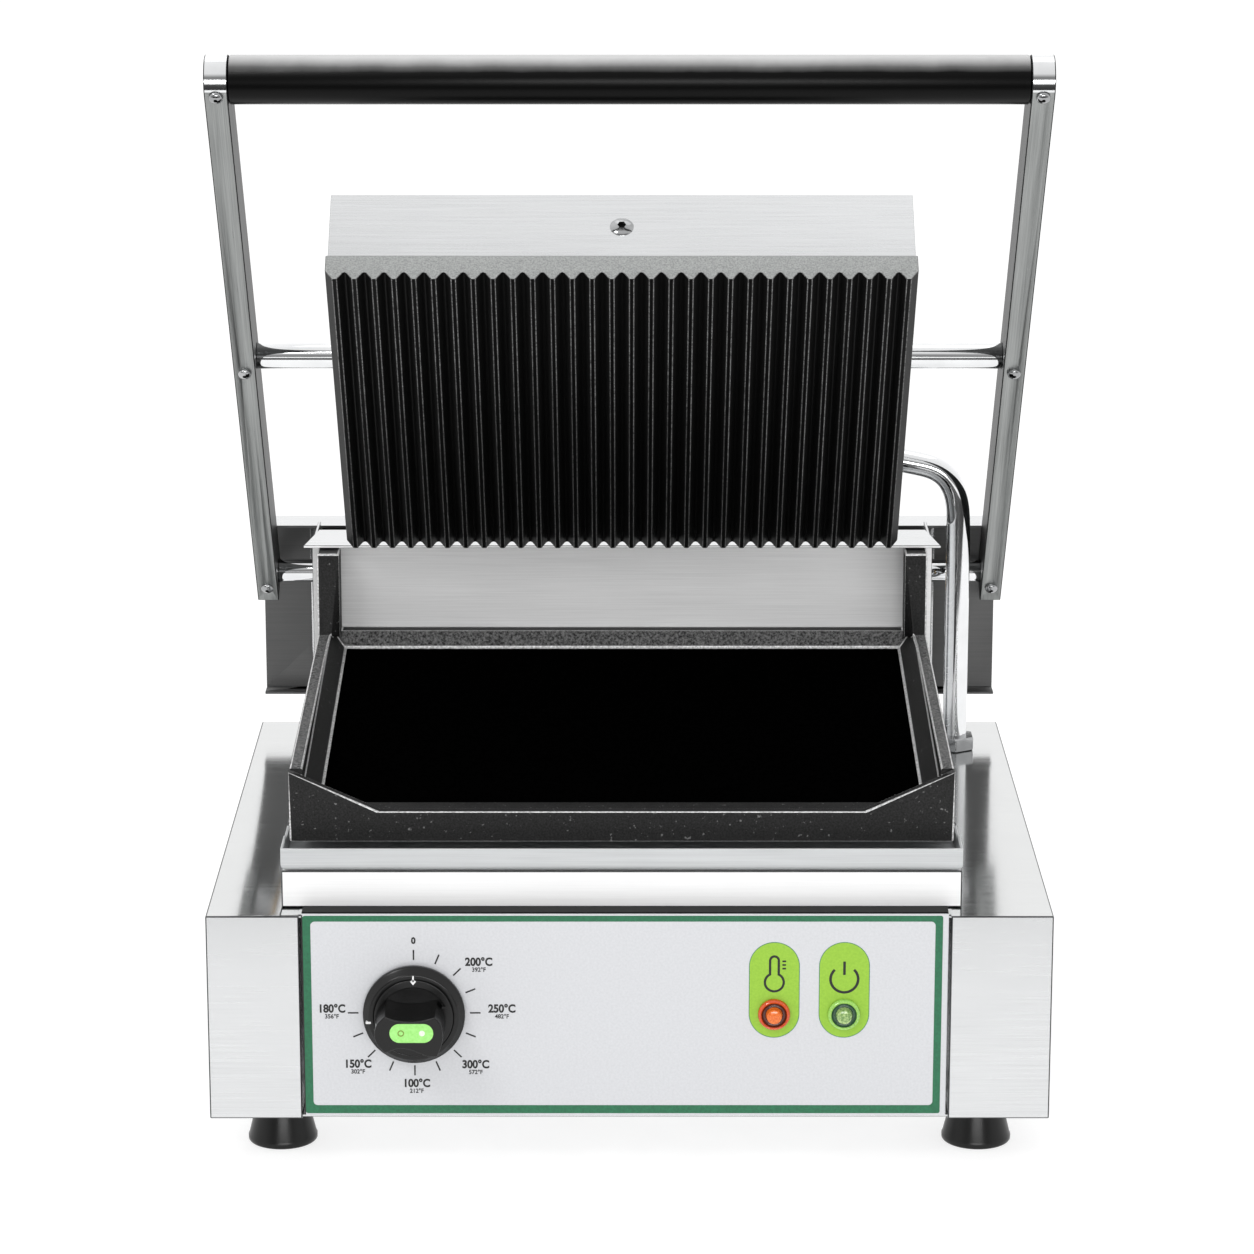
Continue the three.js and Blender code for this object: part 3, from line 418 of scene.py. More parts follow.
def round_edges(piece, radius_mm, segments=3, edge_material=-1, angle=40, shortest_mm=0, clamp=True):
    """Rounds the edges that turn by more than the angle and are longer than the shortest length."""
    bm = bmesh.new()
    bm.from_mesh(piece.data)
    weight = bm.edges.layers.float.new("bevel_weight_edge")
    for edge in bm.edges:
        turns = edge.calc_face_angle(0) > math.radians(angle)
        edge[weight] = 1.0 if turns and edge.calc_length() > shortest_mm * MM else 0.0
    bm.to_mesh(piece.data)
    bm.free()
    bevel = piece.modifiers.new("rounded_edges", "BEVEL")
    bevel.width = radius_mm * MM
    bevel.segments = segments
    bevel.limit_method = "WEIGHT"
    bevel.material = edge_material
    bevel.harden_normals = True
    bevel.use_clamp_overlap = clamp
    return piece


def softened(node, name, materials, radius_mm, segments=3):
    # The rounds get the fold sheet: painted shade along each fold.
    piece = settle(merged_copy(node), name, node, materials + [steel_fold])
    round_edges(piece, radius_mm, segments, len(materials), shortest_mm=9)
    print(name, "edges rounded to", radius_mm, "mm")
    return piece


def spun(profile, steps):
    """A turned solid along +Z from (radius, height) points in mm, which start and end on the axis."""
    bm = bmesh.new()
    verts = [bm.verts.new((r * MM, 0, z * MM)) for r, z in profile]
    edges = [bm.edges.new(pair) for pair in zip(verts, verts[1:])]
    bmesh.ops.spin(
        bm, geom=verts + edges, cent=(0, 0, 0), axis=(0, 0, 1), angle=2 * math.pi, steps=steps,
        use_merge=True,
    )
    bmesh.ops.remove_doubles(bm, verts=bm.verts, dist=0.001 * MM)
    bmesh.ops.recalc_face_normals(bm, faces=bm.faces)
    return bm


def put(bm, place, up):
    """Stands a mesh made along +Z at a place, with its +Z along the direction up."""
    turn = Vector((0, 0, 1)).rotation_difference(Vector(up)).to_matrix().to_4x4()
    bmesh.ops.transform(bm, matrix=Matrix.Translation(place) @ turn, verts=bm.verts)
    return bm


def cut(bm, place, across, **clear):
    geometry = bm.verts[:] + bm.edges[:] + bm.faces[:]
    bmesh.ops.bisect_plane(bm, geom=geometry, plane_co=place, plane_no=across, dist=1e-6, **clear)


def shade_by(piece, rule):
    for face in piece.data.polygons:
        face.material_index = rule(face.center, face.normal)


# %% [markdown]
# ## The base
#
# The housing is folded from one sheet, so its edges are narrow rounds, not knife edges. A
# softened copy of the frame's shell has its rounds painted dark: painted shade along each fold.

# %% Base housing
shell = softened("base_shell", "folded_base_housing", [steel_sheet, steel_top], 0.7)
shade_by(shell, lambda centre, normal: 1 if normal.z > 0.9 else 0)
softened("base_floor", "base_bottom_plate", [steel_sheet], 0.3, 1)
softened("plinth", "folded_plinth", [steel_plinth], 0.8)

# %% [markdown]
# A black strip lies in the joint where the plinth stands on the base: painted shadow for the dark
# gap between the plinth and the panel. It is a low strip with rounded edges.

# %% Painted shadow strip
# Near black: painted shadow in the gap.
shadow_gap_paint = moulded(
    "painted_shadow_gap_black", "#0A0A0A", "#050505", 0.6, 1.0, 0.03, Specular_IOR_Level=0.2,
)
plinth_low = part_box("plinth")[0]
panel_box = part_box("control_panel")
shell_top = panel_box[1].z - 1.0 * MM
bm = bmesh.new()
bmesh.ops.create_cube(bm, size=1)
bead_front, bead_back = panel_box[0].y + 3.2 * MM, plinth_low.y - 0.05 * MM
bead_width = panel_box[1].x - panel_box[0].x
bmesh.ops.scale(bm, vec=(bead_width, bead_back - bead_front, 1.0 * MM), verts=bm.verts)
bead_middle = (
    (panel_box[0].x + panel_box[1].x) / 2, (bead_front + bead_back) / 2, shell_top + 0.52 * MM,
)
bmesh.ops.translate(bm, vec=bead_middle, verts=bm.verts)
bead = settle(bm, "painted_shadow_gap_strip", "plinth", [shadow_gap_paint], replace=False)
round_edges(bead, 0.35, 2)
print("bead depth", round((bead_back - bead_front) / MM, 1), "mm")

# %% [markdown]
# The tray's two lower corners are cut round, so fingers can pull it. Those long edges are found
# by place and bevelled first; the general rounding comes after.

# %% Drip tray
tray_low, tray_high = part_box("drip_tray")
bm = merged_copy("drip_tray")
corners = [
    edge for edge in bm.edges
    if all(abs(v.co.z - tray_low.z) < 0.1 * MM for v in edge.verts)
    and all(min(abs(v.co.x - tray_low.x), abs(v.co.x - tray_high.x)) < 0.1 * MM for v in edge.verts)
]
bmesh.ops.bevel(
    bm, geom=corners, offset=3.6 * MM, segments=6, profile=0.5, affect="EDGES", material=-1,
)
tray_steel = brushed("belt_ground_tray_lip", "#CBCDCE", "#BCBEBF", 0.42, metallic=0.5)
tray = settle(bm, "folded_drip_tray", "drip_tray", [tray_steel])
round_edges(tray, 0.35, 2, shortest_mm=0.3)
print("tray corners rounded:", len(corners))

# %% [markdown]
# ## Upright, splash wall and rear cover
#
# The wall behind the pan, where it faces the front, gets the splash copy of the sheet, painted
# nearly white: painted light that lifts the shade under the head. Its side cheeks and top flange
# keep the plain sheet. The cover at the back is painted dark grey, a painted dark reflection, and
# its top flange gets the bright sheet, painted light where it faces up.

# %% Upright and rear cover
upright = softened("rear_upright", "rear_upright_with_splash", [steel_sheet, steel_splash], 0.25, 1)
# The middle wall's front faces get the splash sheet's painted light.
shade_by(upright, lambda centre, normal: 1 if normal.y < -0.9 and abs(centre.x) < 0.17 else 0)
cover = softened("rear_cover", "rear_channel_cover", [steel_dark, steel_sheet], 0.3, 1)
cover_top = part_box("rear_cover")[1].z - 3 * MM


def cover_finish(centre, normal):
    # The upward top flange and the back get the bright sheet, painted light; the front keeps the painted dark
    # reflection.
    top_flange = normal.z > 0.9 and centre.z > cover_top
    return 1 if top_flange or normal.y > 0.9 else 0


shade_by(cover, cover_finish)

# %% [markdown]
# ## The lower plate
#
# The pan is one casting: sand-cast skin outside, a seasoned black face inside, and edges that
# rubbing has laid bare. The bevel writes its own faces to a second material slot, which is how
# the bare line follows every edge. The cooking face is found by its slope.

# %% Cast lower plate
pan_low, pan_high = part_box("lower_plate")
bm = merged_copy("lower_plate")
lip_back = pan_low.y + 17 * MM
cut(bm, (0, lip_back, 0), (0, 1, 0))
pan = settle(bm, "cast_lower_plate", "lower_plate", [iron_skin, iron_bare, iron_face, iron_rim])
rim_z = pan_high.z - 46.4 * MM
INSIDE_HALF = 157 * MM


def pan_finish(centre, normal):
    inside = abs(centre.x) < INSIDE_HALF and pan_low.y + 2 * MM < centre.y < pan_high.y - 12 * MM
    if normal.z > 0.9 and inside and centre.y > lip_back:
        return 2
    if normal.y < -0.9 and centre.y > 0.08 and centre.z < rim_z + 1 * MM:
        return 3
    return 3 if normal.z > 0.9 and abs(centre.x) > INSIDE_HALF and centre.z < rim_z + 2 * MM else 0


shade_by(pan, pan_finish)
round_edges(pan, 0.9, 3, 1, 30, 9, clamp=False)
print("pan width", round(pan_high.x - pan_low.x, 3))

# %% [markdown]
# ## The head
#
# The upper plate is ground along its front edge and seasoned on its ribs. The edges of its ribs
# carry a painted highlight, a grey line on the bevel's own faces. The housing is one folded box
# with tight folds.

# %% Ribbed plate and housing
bm = merged_copy("upper_plate")
valleys = [
    e for e in bm.edges
    if e.calc_length() > 180 * MM and len(e.link_faces) == 2 and not e.is_convex
]
bmesh.ops.bevel(bm, geom=valleys, offset=1.9 * MM, segments=4, profile=0.5, affect="EDGES", material=-1)
print("rib valleys rounded:", len(valleys))
ribs = settle(bm, "ribbed_upper_plate", "upper_plate", [iron_ribs, iron_rib_edge, iron_edge], 20)


def rib_finish(centre, normal):
    faces_down = normal.dot(HEAD_UP) < -0.2
    return 0 if faces_down else 2


shade_by(ribs, rib_finish)
# The rib edges' rounds take slot 1, the painted highlight.
round_edges(ribs, 0.32, 2, 1, 32, 3)
softened("upper_housing", "folded_head_housing", [steel_head], 0.8)

# %% [markdown]
# ## Lift arms
#
# Each arm is a solid bar, ground lengthwise, with its round end polished where the handle meets
# it. The copy is cut just above the handle screw so that the polished end can have its own
# finish without a painted edge.

# %% Lift arms
polish_line = axle + ARM_UP * (HANDLE_REACH + 3.0 * MM)


def arm_finish(centre, normal):
    # Flanks get the painted dark reflection.
    if abs(normal.x) > 0.9:
        return 2
    return 1 if (centre - polish_line).dot(ARM_UP) > 0 else 0


for side in ("left", "right"):
    node = f"lift_arm_{side}"
    bm = merged_copy(node)
    cut(bm, polish_line, ARM_UP)
    arm = settle(bm, f"ground_lift_arm_{side}", node, [steel_bar, steel_polished, steel_flank])
    shade_by(arm, arm_finish)
    # The rounded edges get the flank paint: painted shade along them.
    round_edges(arm, 0.7, 3, 2)
print("arms made")

# %% [markdown]
# ## Rods, grip and bushes
#
# These are lathe work. Each is spun from half a dozen points, with a small chamfer at each end,
# and laid along X at the centre of the frame's part.


# %% Rods and grip
def bar_along_x(node, name, material, chamfer_mm, steps=64):
    low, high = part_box(node)
    length = (high.x - low.x) / MM
    radius = (high.y - low.y) / 2 / MM
    c = chamfer_mm
    profile = [
        (0, 0), (radius - c, 0), (radius - 0.3 * c, 0.3 * c), (radius, c), (radius, length - c),
        (radius - 0.3 * c, length - 0.3 * c), (radius - c, length), (0, length),
    ]
    centre = (low + high) / 2
    bm = put(spun(profile, steps), Vector((low.x, centre.y, centre.z)), (1, 0, 0))
    return settle(bm, name, node, [material])


bar_along_x("lower_axle", "polished_lower_axle", steel_polished, 0.6)
bar_along_x("swivel_rod", "polished_swivel_rod", steel_polished, 0.6)
bar_along_x("handle_rod", "polished_handle_rod", steel_polished, 0.5)
bar_along_x("handle_grip", "black_handle_grip", grip_plastic, 0.8, 96)

# %% [markdown]
# ## Screws
#
# A button head screw is a low dome with a hexagon socket. The dome is spun; then the ring at the
# socket's rim is pushed out onto a hexagon, and the face inside it is extruded down.


# %% Button head screws
# The socket is painted near black: painted shade inside the recess.
socket_shade = moulded("painted_shade_socket", "#1A1A1A", "#0A0A0A", 0.4, 1.0, 0.02)


def button_screw(name, node, place, out, radius, height, socket):
    dome = [
        (radius * math.cos(a), 0.25 * height + 0.75 * height * math.sin(a))
        for a in [math.radians(d) for d in (0, 15, 30, 45, 58)]
        if radius * math.cos(a) > socket * 1.25
    ]
    profile = [(0, 0), (radius * 0.96, 0)] + dome + [(socket * 1.2, height)]
    bm = spun(profile, 48)
    rim = [e for e in bm.edges if e.is_boundary]
    lid = bmesh.ops.contextual_create(bm, geom=rim)["faces"]
    for vert in lid[0].verts:
        angle = math.atan2(vert.co.y, vert.co.x) % (math.pi / 3)
        reach = socket * math.cos(math.pi / 6) / math.cos(angle - math.pi / 6) * MM
        vert.co.x, vert.co.y = [reach * v / math.hypot(vert.co.x, vert.co.y) for v in vert.co.xy]
    floor = bmesh.ops.extrude_face_region(bm, geom=lid)["geom"]
    bmesh.ops.delete(bm, geom=lid, context="FACES_ONLY")
    down = [v for v in floor if isinstance(v, bmesh.types.BMVert)]
    bmesh.ops.translate(bm, vec=(0, 0, -0.6 * height * MM), verts=down)
    bmesh.ops.recalc_face_normals(bm, faces=bm.faces)
    # Faces inside the socket get the painted shade.
    for face in bm.faces:
        middle_of_face = face.calc_center_median()
        in_socket = math.hypot(middle_of_face.x, middle_of_face.y) < socket * 1.02 * MM
        face.material_index = 1 if in_socket and middle_of_face.z > 0.3 * height * MM else 0
    return settle(put(bm, place, out), name, node, [steel_screw, socket_shade], 30)


for side in ("left", "right"):
    for station, reach in (("axle", 0), ("rod", ROD_REACH), ("handle", HANDLE_REACH)):
        node = f"{station}_set_screw_{side}"
        place = axle + ARM_UP * reach + ARM_FRONT * 12.55 * MM
        place.x = middle(node).x
        button_screw(f"button_screw_{station}_{side}", node, place, ARM_FRONT, 3.6, 2.6, 1.1)

screw_seat = middle("housing_screw") + HEAD_BACK * 2.0 * MM
button_screw("button_screw_housing", "housing_screw", screw_seat, -HEAD_BACK, 7.0, 4.6, 2.3)
for side in ("left", "right"):
    node = f"rear_cover_bolt_{side}"
    place = middle(node)
    place.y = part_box("rear_cover")[1].y + 0.1 * MM
    button_screw(f"button_bolt_cover_{side}", node, place, (0, 1, 0), 6.4, 3.8, 2.2)
print("screws made")

# %% [markdown]
# ## Feet
#
# Each foot is a moulded rubber cone with a rolled lower rim and a pocket under it for its screw.

# %% Rubber feet
for end in ("front", "back"):
    for side in ("left", "right"):
        node = f"foot_{end}_{side}"
        low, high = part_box(node)
        h = (high.z - low.z) / MM
        profile = [
            (0, 9), (7, 9), (7.4, 8.6), (7.5, 0.6), (8.2, 0), (16.2, 0), (17.4, 0.3), (17.95, 1.0),
            (18, 3.0), (17.5, 4.0), (12.7, h - 2), (12.4, h - 0.8),
            (11.8, h), (0, h),
        ]
        centre = (low + high) / 2
        bm = put(spun(profile, 56), Vector((centre.x, centre.y, low.z)), (0, 0, 1))
        settle(bm, f"rubber_foot_{end}_{side}", node, [foot_rubber], 50)
print("feet made")

# %% [markdown]
# ## Conduit and springs
#
# The conduit is a bent steel tube that takes the upper heater's wires into the head. It is drawn
# as a smooth curve through its bends and given its bore as a bevel. On the grill its foot stays in
# the base and its top follows the head, so the tube bends in two places when the lid comes down:
# once between the base and the arms, and once between the arms and the head. It is cut in two
# where it follows the arms alone; neither half is attached to a body, so here neither bends.

# %% Bent conduit
CONDUIT_RADIUS = 6.8
base_nut = middle("conduit_base_nut")
head_nut = middle("conduit_head_nut")


def swept(name, points, radius_mm, rings):
    curve = bpy.data.curves.new(name, "CURVE")
    curve.dimensions = "3D"
    curve.bevel_depth = radius_mm * MM
    curve.bevel_resolution = rings
    curve.resolution_u = 10
    curve.use_fill_caps = True
    spline = curve.splines.new("NURBS")
    spline.points.add(len(points) - 1)
    for knot, point in zip(spline.points, points):
        knot.co = (*point, 1)
    spline.order_u = 4
    spline.use_endpoint_u = True
    holder = bpy.data.objects.new(name + "_curve", curve)
    mesh = bpy.data.meshes.new_from_object(holder)
    bpy.data.objects.remove(holder)
    bm = bmesh.new()
    bm.from_mesh(mesh)
    bmesh.ops.remove_doubles(bm, verts=bm.verts, dist=0.001 * MM)
    bmesh.ops.recalc_face_normals(bm, faces=bm.faces)
    return bm


foot = Vector((base_nut.x, base_nut.y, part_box("base_shell")[1].z + 0.3 * MM))
CONDUIT_RISE, CONDUIT_BEND = 168.7 * MM, 48 * MM
top_z = foot.z + CONDUIT_RISE
route = [foot + Vector((0, 0, h * MM)) for h in (0, 30, 60, 90, 115, 140)]
route += [
    Vector((foot.x - 3 * MM, foot.y, top_z - 14 * MM)),
    Vector((foot.x - 14 * MM, foot.y, top_z - 2 * MM)),
    Vector((foot.x - CONDUIT_BEND, foot.y, top_z)),
]
route += [
    head_nut + Vector((24 * MM, 0, 0)) + HEAD_BACK * 56 * MM + HEAD_UP * 27 * MM,
    head_nut + Vector((8 * MM, 0, 0)) + HEAD_BACK * 36 * MM + HEAD_UP * 33 * MM,
    head_nut + HEAD_BACK * 12 * MM + HEAD_UP * 34 * MM,
    head_nut + HEAD_BACK * -1 * MM + HEAD_UP * 28 * MM,
    head_nut + HEAD_UP * 14 * MM,
    head_nut + HEAD_UP * 6 * MM,
    head_nut - HEAD_UP * 3.6 * MM,
]
seam = route[8].lerp(route[9], 0.7)
first_bend_end = route[8].lerp(route[9], 0.4)
for part, below_seam, bodies, start, end in (
    ("lower", True, ("root", "arms"), route[5], first_bend_end),
    ("upper", False, ("arms", "head"), route[9], route[12]),
):
    bm = swept("conduit", route, CONDUIT_RADIUS, 10)
    cut(bm, seam, (1, 0, 0), clear_inner=below_seam, clear_outer=not below_seam)
    bmesh.ops.holes_fill(bm, edges=bm.edges)
    bmesh.ops.recalc_face_normals(bm, faces=bm.faces)
    conduit = settle(bm, f"bent_steel_conduit_{part}", "wire_conduit", [steel_polished], 60, bends=True)
    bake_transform(conduit)
    print("conduit", part, "faces", len(conduit.data.polygons))

# %% Counterbalance springs
for side in ("left", "right"):
    node = f"counterbalance_spring_{side}"
    low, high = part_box(node)
    centre = (low + high) / 2
    turns = 24
    wire = 1.1
    coil = (high.x - low.x) / 2 / MM - wire
    points = []
    for i in range(turns * 12 + 1):
        angle = 2 * math.pi * i / 12
        height = low.z + wire * MM + (high.z - low.z - 2 * wire * MM) * i / (turns * 12)
        around = Vector((math.cos(angle), math.sin(angle), 0)) * coil * MM
        points.append(Vector((centre.x, centre.y, height)) + around)
    spring = settle(
        swept(f"spring_{side}", points, wire, 3), f"wound_spring_{side}", node, [spring_wire], 60,
        bends=True,
    )
    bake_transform(spring)
print("springs wound")

# %% [markdown]
# ## Base nut of the conduit
#
# The conduit is clamped by a hexagon nut at each end; the one on the base is made here. A six-sided
# spin gives the hexagon, and its corners are taken off by the bevel.


# %% Base nut
def hexagon_nut(name, node, up, across_mm, height_mm):
    bm = bmesh.new()
    bmesh.ops.create_cone(
        bm, cap_ends=True, segments=6, radius1=across_mm / math.sqrt(3) * MM,
        radius2=across_mm / math.sqrt(3) * MM, depth=height_mm * MM,
    )
    piece = settle(put(bm, middle(node), up), name, node, [steel_screw])
    return round_edges(piece, 0.6, 3)


FLATS_TO_CORNERS = 0.866
low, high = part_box("conduit_base_nut")
nut_across, nut_height = (high.y - low.y) / MM * FLATS_TO_CORNERS, (high.z - low.z) / MM
hexagon_nut("hexagon_nut_base", "conduit_base_nut", (0, 0, 1), nut_across, nut_height)
print("base nut height", round(nut_height, 1), "mm")

# %% [markdown]
# ## Thermostat knob
#
# The knob is moulded phenolic: a skirt with a polished rim, a raised boss with a crescent scooped
# out of it, and a waisted grip to hold. The skirt is spun. The boss is one circle with the
# crescent left open when it is filled, then pulled up. The grip's outline is filled, pulled
# forward in two steps so that it narrows, and its front edge is rounded.


# %% Flat outlines
def arc(cx, cy, radius, start, end, steps):
    return [
        (cx + radius * math.cos(math.radians(a)), cy + radius * math.sin(math.radians(a)))
        for a in [start + (end - start) * i / steps for i in range(steps + 1)]
    ]


def curve_through(points, steps=6):
    """A smooth open line through the points (Catmull-Rom)."""
    padded = [points[0]] + points + [points[-1]]
    line = []
    for a, b, c, d in zip(padded, padded[1:], padded[2:], padded[3:]):
        for i in range(steps):
            t = i / steps
            line.append(tuple(
                0.5 * (
                    2 * q + (r - p) * t + (2 * p - 5 * q + 4 * r - s) * t * t
                    + (3 * q - p - 3 * r + s) * t ** 3
                )
                for p, q, r, s in zip(a, b, c, d)
            ))
    return line + [points[-1]]


def rounded_rectangle(left, right, bottom, top, radius, steps=8):
    return (
        arc(right - radius, top - radius, radius, 0, 90, steps)
        + arc(left + radius, top - radius, radius, 90, 180, steps)
        + arc(left + radius, bottom + radius, radius, 180, 270, steps)
        + arc(right - radius, bottom + radius, radius, 270, 360, steps)
    )


def filled(bm, loops, height=0.0):
    """Fills the area between closed loops of points in mm, at a height along +Z."""
    edges = []
    for loop in loops:
        loop = [p for p, before in zip(loop, loop[-1:] + loop[:-1]) if math.dist(p, before) > 0.002]
        verts = [bm.verts.new((x * MM, y * MM, height * MM)) for x, y in loop]
        edges += [bm.edges.new((a, b)) for a, b in zip(verts, verts[1:] + verts[:1])]
    return bmesh.ops.triangle_fill(bm, edges=edges, use_beauty=True, normal=(0, 0, 1))


def raised(loops, thickness, base=0.0):
    """A flat plate of the given outline, standing on the XY plane, in mm."""
    bm = bmesh.new()
    fill = filled(bm, loops, base)
    faces = [g for g in fill["geom"] if isinstance(g, bmesh.types.BMFace)]
    top = bmesh.ops.extrude_face_region(bm, geom=faces, use_keep_orig=True)["geom"]
    verts = [v for v in top if isinstance(v, bmesh.types.BMVert)]
    bmesh.ops.translate(bm, vec=(0, 0, thickness * MM), verts=verts)
    bmesh.ops.recalc_face_normals(bm, faces=bm.faces)
    return bm


def facing_front(bm, x, y, z):
    """Stands a mesh made in XY upright: its +Z faces the operator and its +Y points up."""
    stand = Matrix.Translation((x, y, z)) @ Matrix.Rotation(math.radians(90), 4, "X")
    bmesh.ops.transform(bm, matrix=stand, verts=bm.verts)
    return bm


def joined(target, *others):
    for other in others:
        mesh = bpy.data.meshes.new("joining")
        other.to_mesh(mesh)
        other.free()
        target.from_mesh(mesh)
        bpy.data.meshes.remove(mesh)
    return target


# %% Knob body
knob_low, knob_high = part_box("control_knob")
knob_x = (knob_low.x + knob_high.x) / 2
knob_z = (knob_low.z + knob_high.z) / 2
knob_back = knob_high.y
KNOB_DEPTH = (knob_high.y - knob_low.y) / MM
skirt = spun([
    (0, 0), (25.2, 0), (25.8, 0.25), (26, 0.8), (26, 2.4), (25.8, 3.0), (25.2, 3.4), (23.2, 6.2),
    (22.6, 6.7), (20.6, 6.8), (20.0, 6.6), (19.9, 3.4), (0, 3.2),
], 96)
scoop_edge = curve_through([(-15.8, 6.1), (-7, 4.6), (0, 4.0), (7, 4.6), (15.8, 6.1)])
crescent = arc(0, -1.6, 17.6, 26, 154, 24) + scoop_edge[1:-1]
boss = raised([arc(0, 0, 20.2, 0, 360, 72)[:-1], crescent], 4.2, 3.0)
bmesh.ops.remove_doubles(boss, verts=boss.verts, dist=0.002 * MM)
grip_front = (
    curve_through([(-13.4, 8.8), (-8, 6.9), (-1.5, 6.1), (5, 6.6), (11.8, 8.4)])
    + curve_through([(11.8, 8.4), (14.6, 4.5), (15.6, 0), (15.2, -6), (12.6, -12.6)])[1:]
    + curve_through([(12.6, -12.6), (8, -12.4), (3.6, -10.6), (-2, -8.6), (-7, -8.4), (-13.6, -10.6)])[1:]
    + curve_through([(-13.6, -10.6), (-17.6, -5.5), (-18.6, -0.5), (-17.2, 4.6), (-13.4, 8.8)])[1:-1]
)


def knob_grip(outline, back, front, spread):
    bm = bmesh.new()
    faces = [g for g in filled(bm, [outline], back)["geom"] if isinstance(g, bmesh.types.BMFace)]
    top = bmesh.ops.extrude_face_region(bm, geom=faces, use_keep_orig=True)["geom"]
    verts = [v for v in top if isinstance(v, bmesh.types.BMVert)]
    bmesh.ops.translate(bm, vec=(0, 0, (front - back) * MM), verts=verts)
    low_verts = [v for v in bm.verts if v.co.z < (back + 0.01) * MM]
    bmesh.ops.scale(bm, vec=(spread, spread, 1), verts=low_verts)
    bmesh.ops.dissolve_limit(bm, angle_limit=math.radians(0.5), verts=bm.verts, edges=bm.edges)
    bmesh.ops.recalc_face_normals(bm, faces=bm.faces)
    return bm


grip_mesh = knob_grip(grip_front, 3.1, KNOB_DEPTH - 0.2, 1.05)
knob_mesh = joined(skirt, boss, grip_mesh)
knob = settle(
    facing_front(knob_mesh, knob_x, knob_back, knob_z), "moulded_control_knob", "control_knob",
    [knob_plastic], 30,
)
round_edges(knob, 0.8, 3, -1, 35)

insert_mesh = raised([rounded_rectangle(-11.0, 11.0, -5.0, 5.0, 4.95, 12)], 0.4)
facing_front(insert_mesh, knob_x, knob_low.y + 0.45 * MM, knob_z)
insert = settle(insert_mesh, "moulded_knob_insert", "knob_insert", [lime_plastic])
olive_ink = moulded("olive_pad_print", "#7F9A3A", "#6A842C", 0.4, 0.8, 0.004)
pale_ink = moulded("pale_pad_print", "#E8F2E0", "#CFE0C4", 0.35, 0.8, 0.004)
for name, x, loops, ink in (
    ("off_ring", -5.3, [arc(0, 0, 1.7, 0, 360, 28)[:-1], arc(0, 0, 1.1, 0, 360, 20)[:-1]], olive_ink),
    ("on_dot", 5.3, [arc(0, 0, 1.5, 0, 360, 28)[:-1]], pale_ink),
):
    mark = facing_front(raised(loops, 0.05), knob_x + x * MM, insert.data.vertices[0].co.y, knob_z)
    front_y = min(v.co.y for v in insert.data.vertices)
    sink = front_y - max(v.co.y for v in mark.verts) + 0.01 * MM
    bmesh.ops.translate(mark, vec=(0, sink, 0), verts=mark.verts)
    settle(mark, f"insert_{name}", "knob_insert", [ink], replace=False)
print("knob depth", round(KNOB_DEPTH, 2), "mm")

# %% [markdown]
# The pointer is pad-printed on the skirt in white, with a small index at the left. Both turn with
# the knob.

# %% Pointer marks
marks = joined(
    raised([[(-0.42, 22.4), (0.42, 22.4), (0.42, 19.4), (-0.42, 19.4)]], 0.75, 6.6),
    raised([[(-1.5, 19.6), (0, 20.6), (1.5, 19.6), (0, 17.6)]], 0.75, 6.6),
    raised([rounded_rectangle(-24.4, -21.6, -3.3, -2.1, 0.55)], 2.0, 4.8),
)
facing_front(marks, knob_x, knob_back, knob_z)
settle(marks, "printed_pointer", "control_knob", [white_ink], replace=False)
print("pointer printed")

# %% [markdown]
# ## Control panel
#
# The panel is a steel plate under a printed film: a green border, two lime pills and the dial.
# Each ink is a plate a tenth of a millimetre thick, so edges stay crisp from any side.

# %% Panel plate and border
panel_low, panel_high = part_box("control_panel")
panel = settle(merged_copy("control_panel"), "printed_control_panel", "control_panel", [panel_film])
round_edges(panel, 0.5, 2)
face_y = panel_low.y
left, right, bottom, top = [v / MM for v in (panel_low.x, panel_high.x, panel_low.z, panel_high.z)]


def printed(name, loops, material, layer=1, replace=False):
    bm = raised(loops, 0.06 * layer)
    facing_front(bm, 0, face_y, 0)
    return settle(bm, name, "control_panel", [material], replace=replace)


printed("green_border", [
    rounded_rectangle(left + 0.6, right - 3.0, bottom + 1.3, top - 0.8, 1.2),
    rounded_rectangle(left + 4.6, right - 6.8, bottom + 5.7, top - 3.9, 2.2),
], green_ink)
margin = rounded_rectangle(left + 0.02, left + 0.62, bottom + 0.5, top - 0.5, 0.1, 1)
printed("dark_margin_left", [margin], black_ink)
print("border printed")

# %% Pills and symbols
lens_left = middle("heating_lamp_lens")
lens_right = middle("power_lamp_lens")


def pill(x, z, grow):
    half, tall = 12.9 + grow, 25.65 + grow
    return rounded_rectangle(x - half, x + half, z - tall, z + tall, half, 16)


for name, lens in (("heating", lens_left), ("power", lens_right)):
    x, z = lens.x / MM, lens.z / MM + 12.9
    printed(f"{name}_pill_outline", [pill(x, z, 0.0), pill(x, z, -0.35)], lime_edge_ink, 1)
    printed(f"{name}_pill", [pill(x, z, -0.35)], lime_ink, 1)

x, z = lens_left.x / MM, lens_left.z / MM


def thermometer(half, bulb):
    lift = math.degrees(math.asin(half / bulb))
    neck = arc(x, z + 17.0, bulb, 90 + lift, 450 - lift, 40)
    head = arc(x, z + 31.5 - 2.8, half, 0, 180, 14)
    return neck + head


printed("thermometer_outline", [thermometer(2.8, 5.4), thermometer(1.6, 4.2)], black_ink, 2)
for i in range(3):
    rung = z + 28.3 - 1.95 * i
    dash = rounded_rectangle(x + 4.0, x + 5.9, rung - 0.45, rung + 0.45, 0.2, 2)
    printed(f"thermometer_dash_{i + 1}", [dash], black_ink, 2)

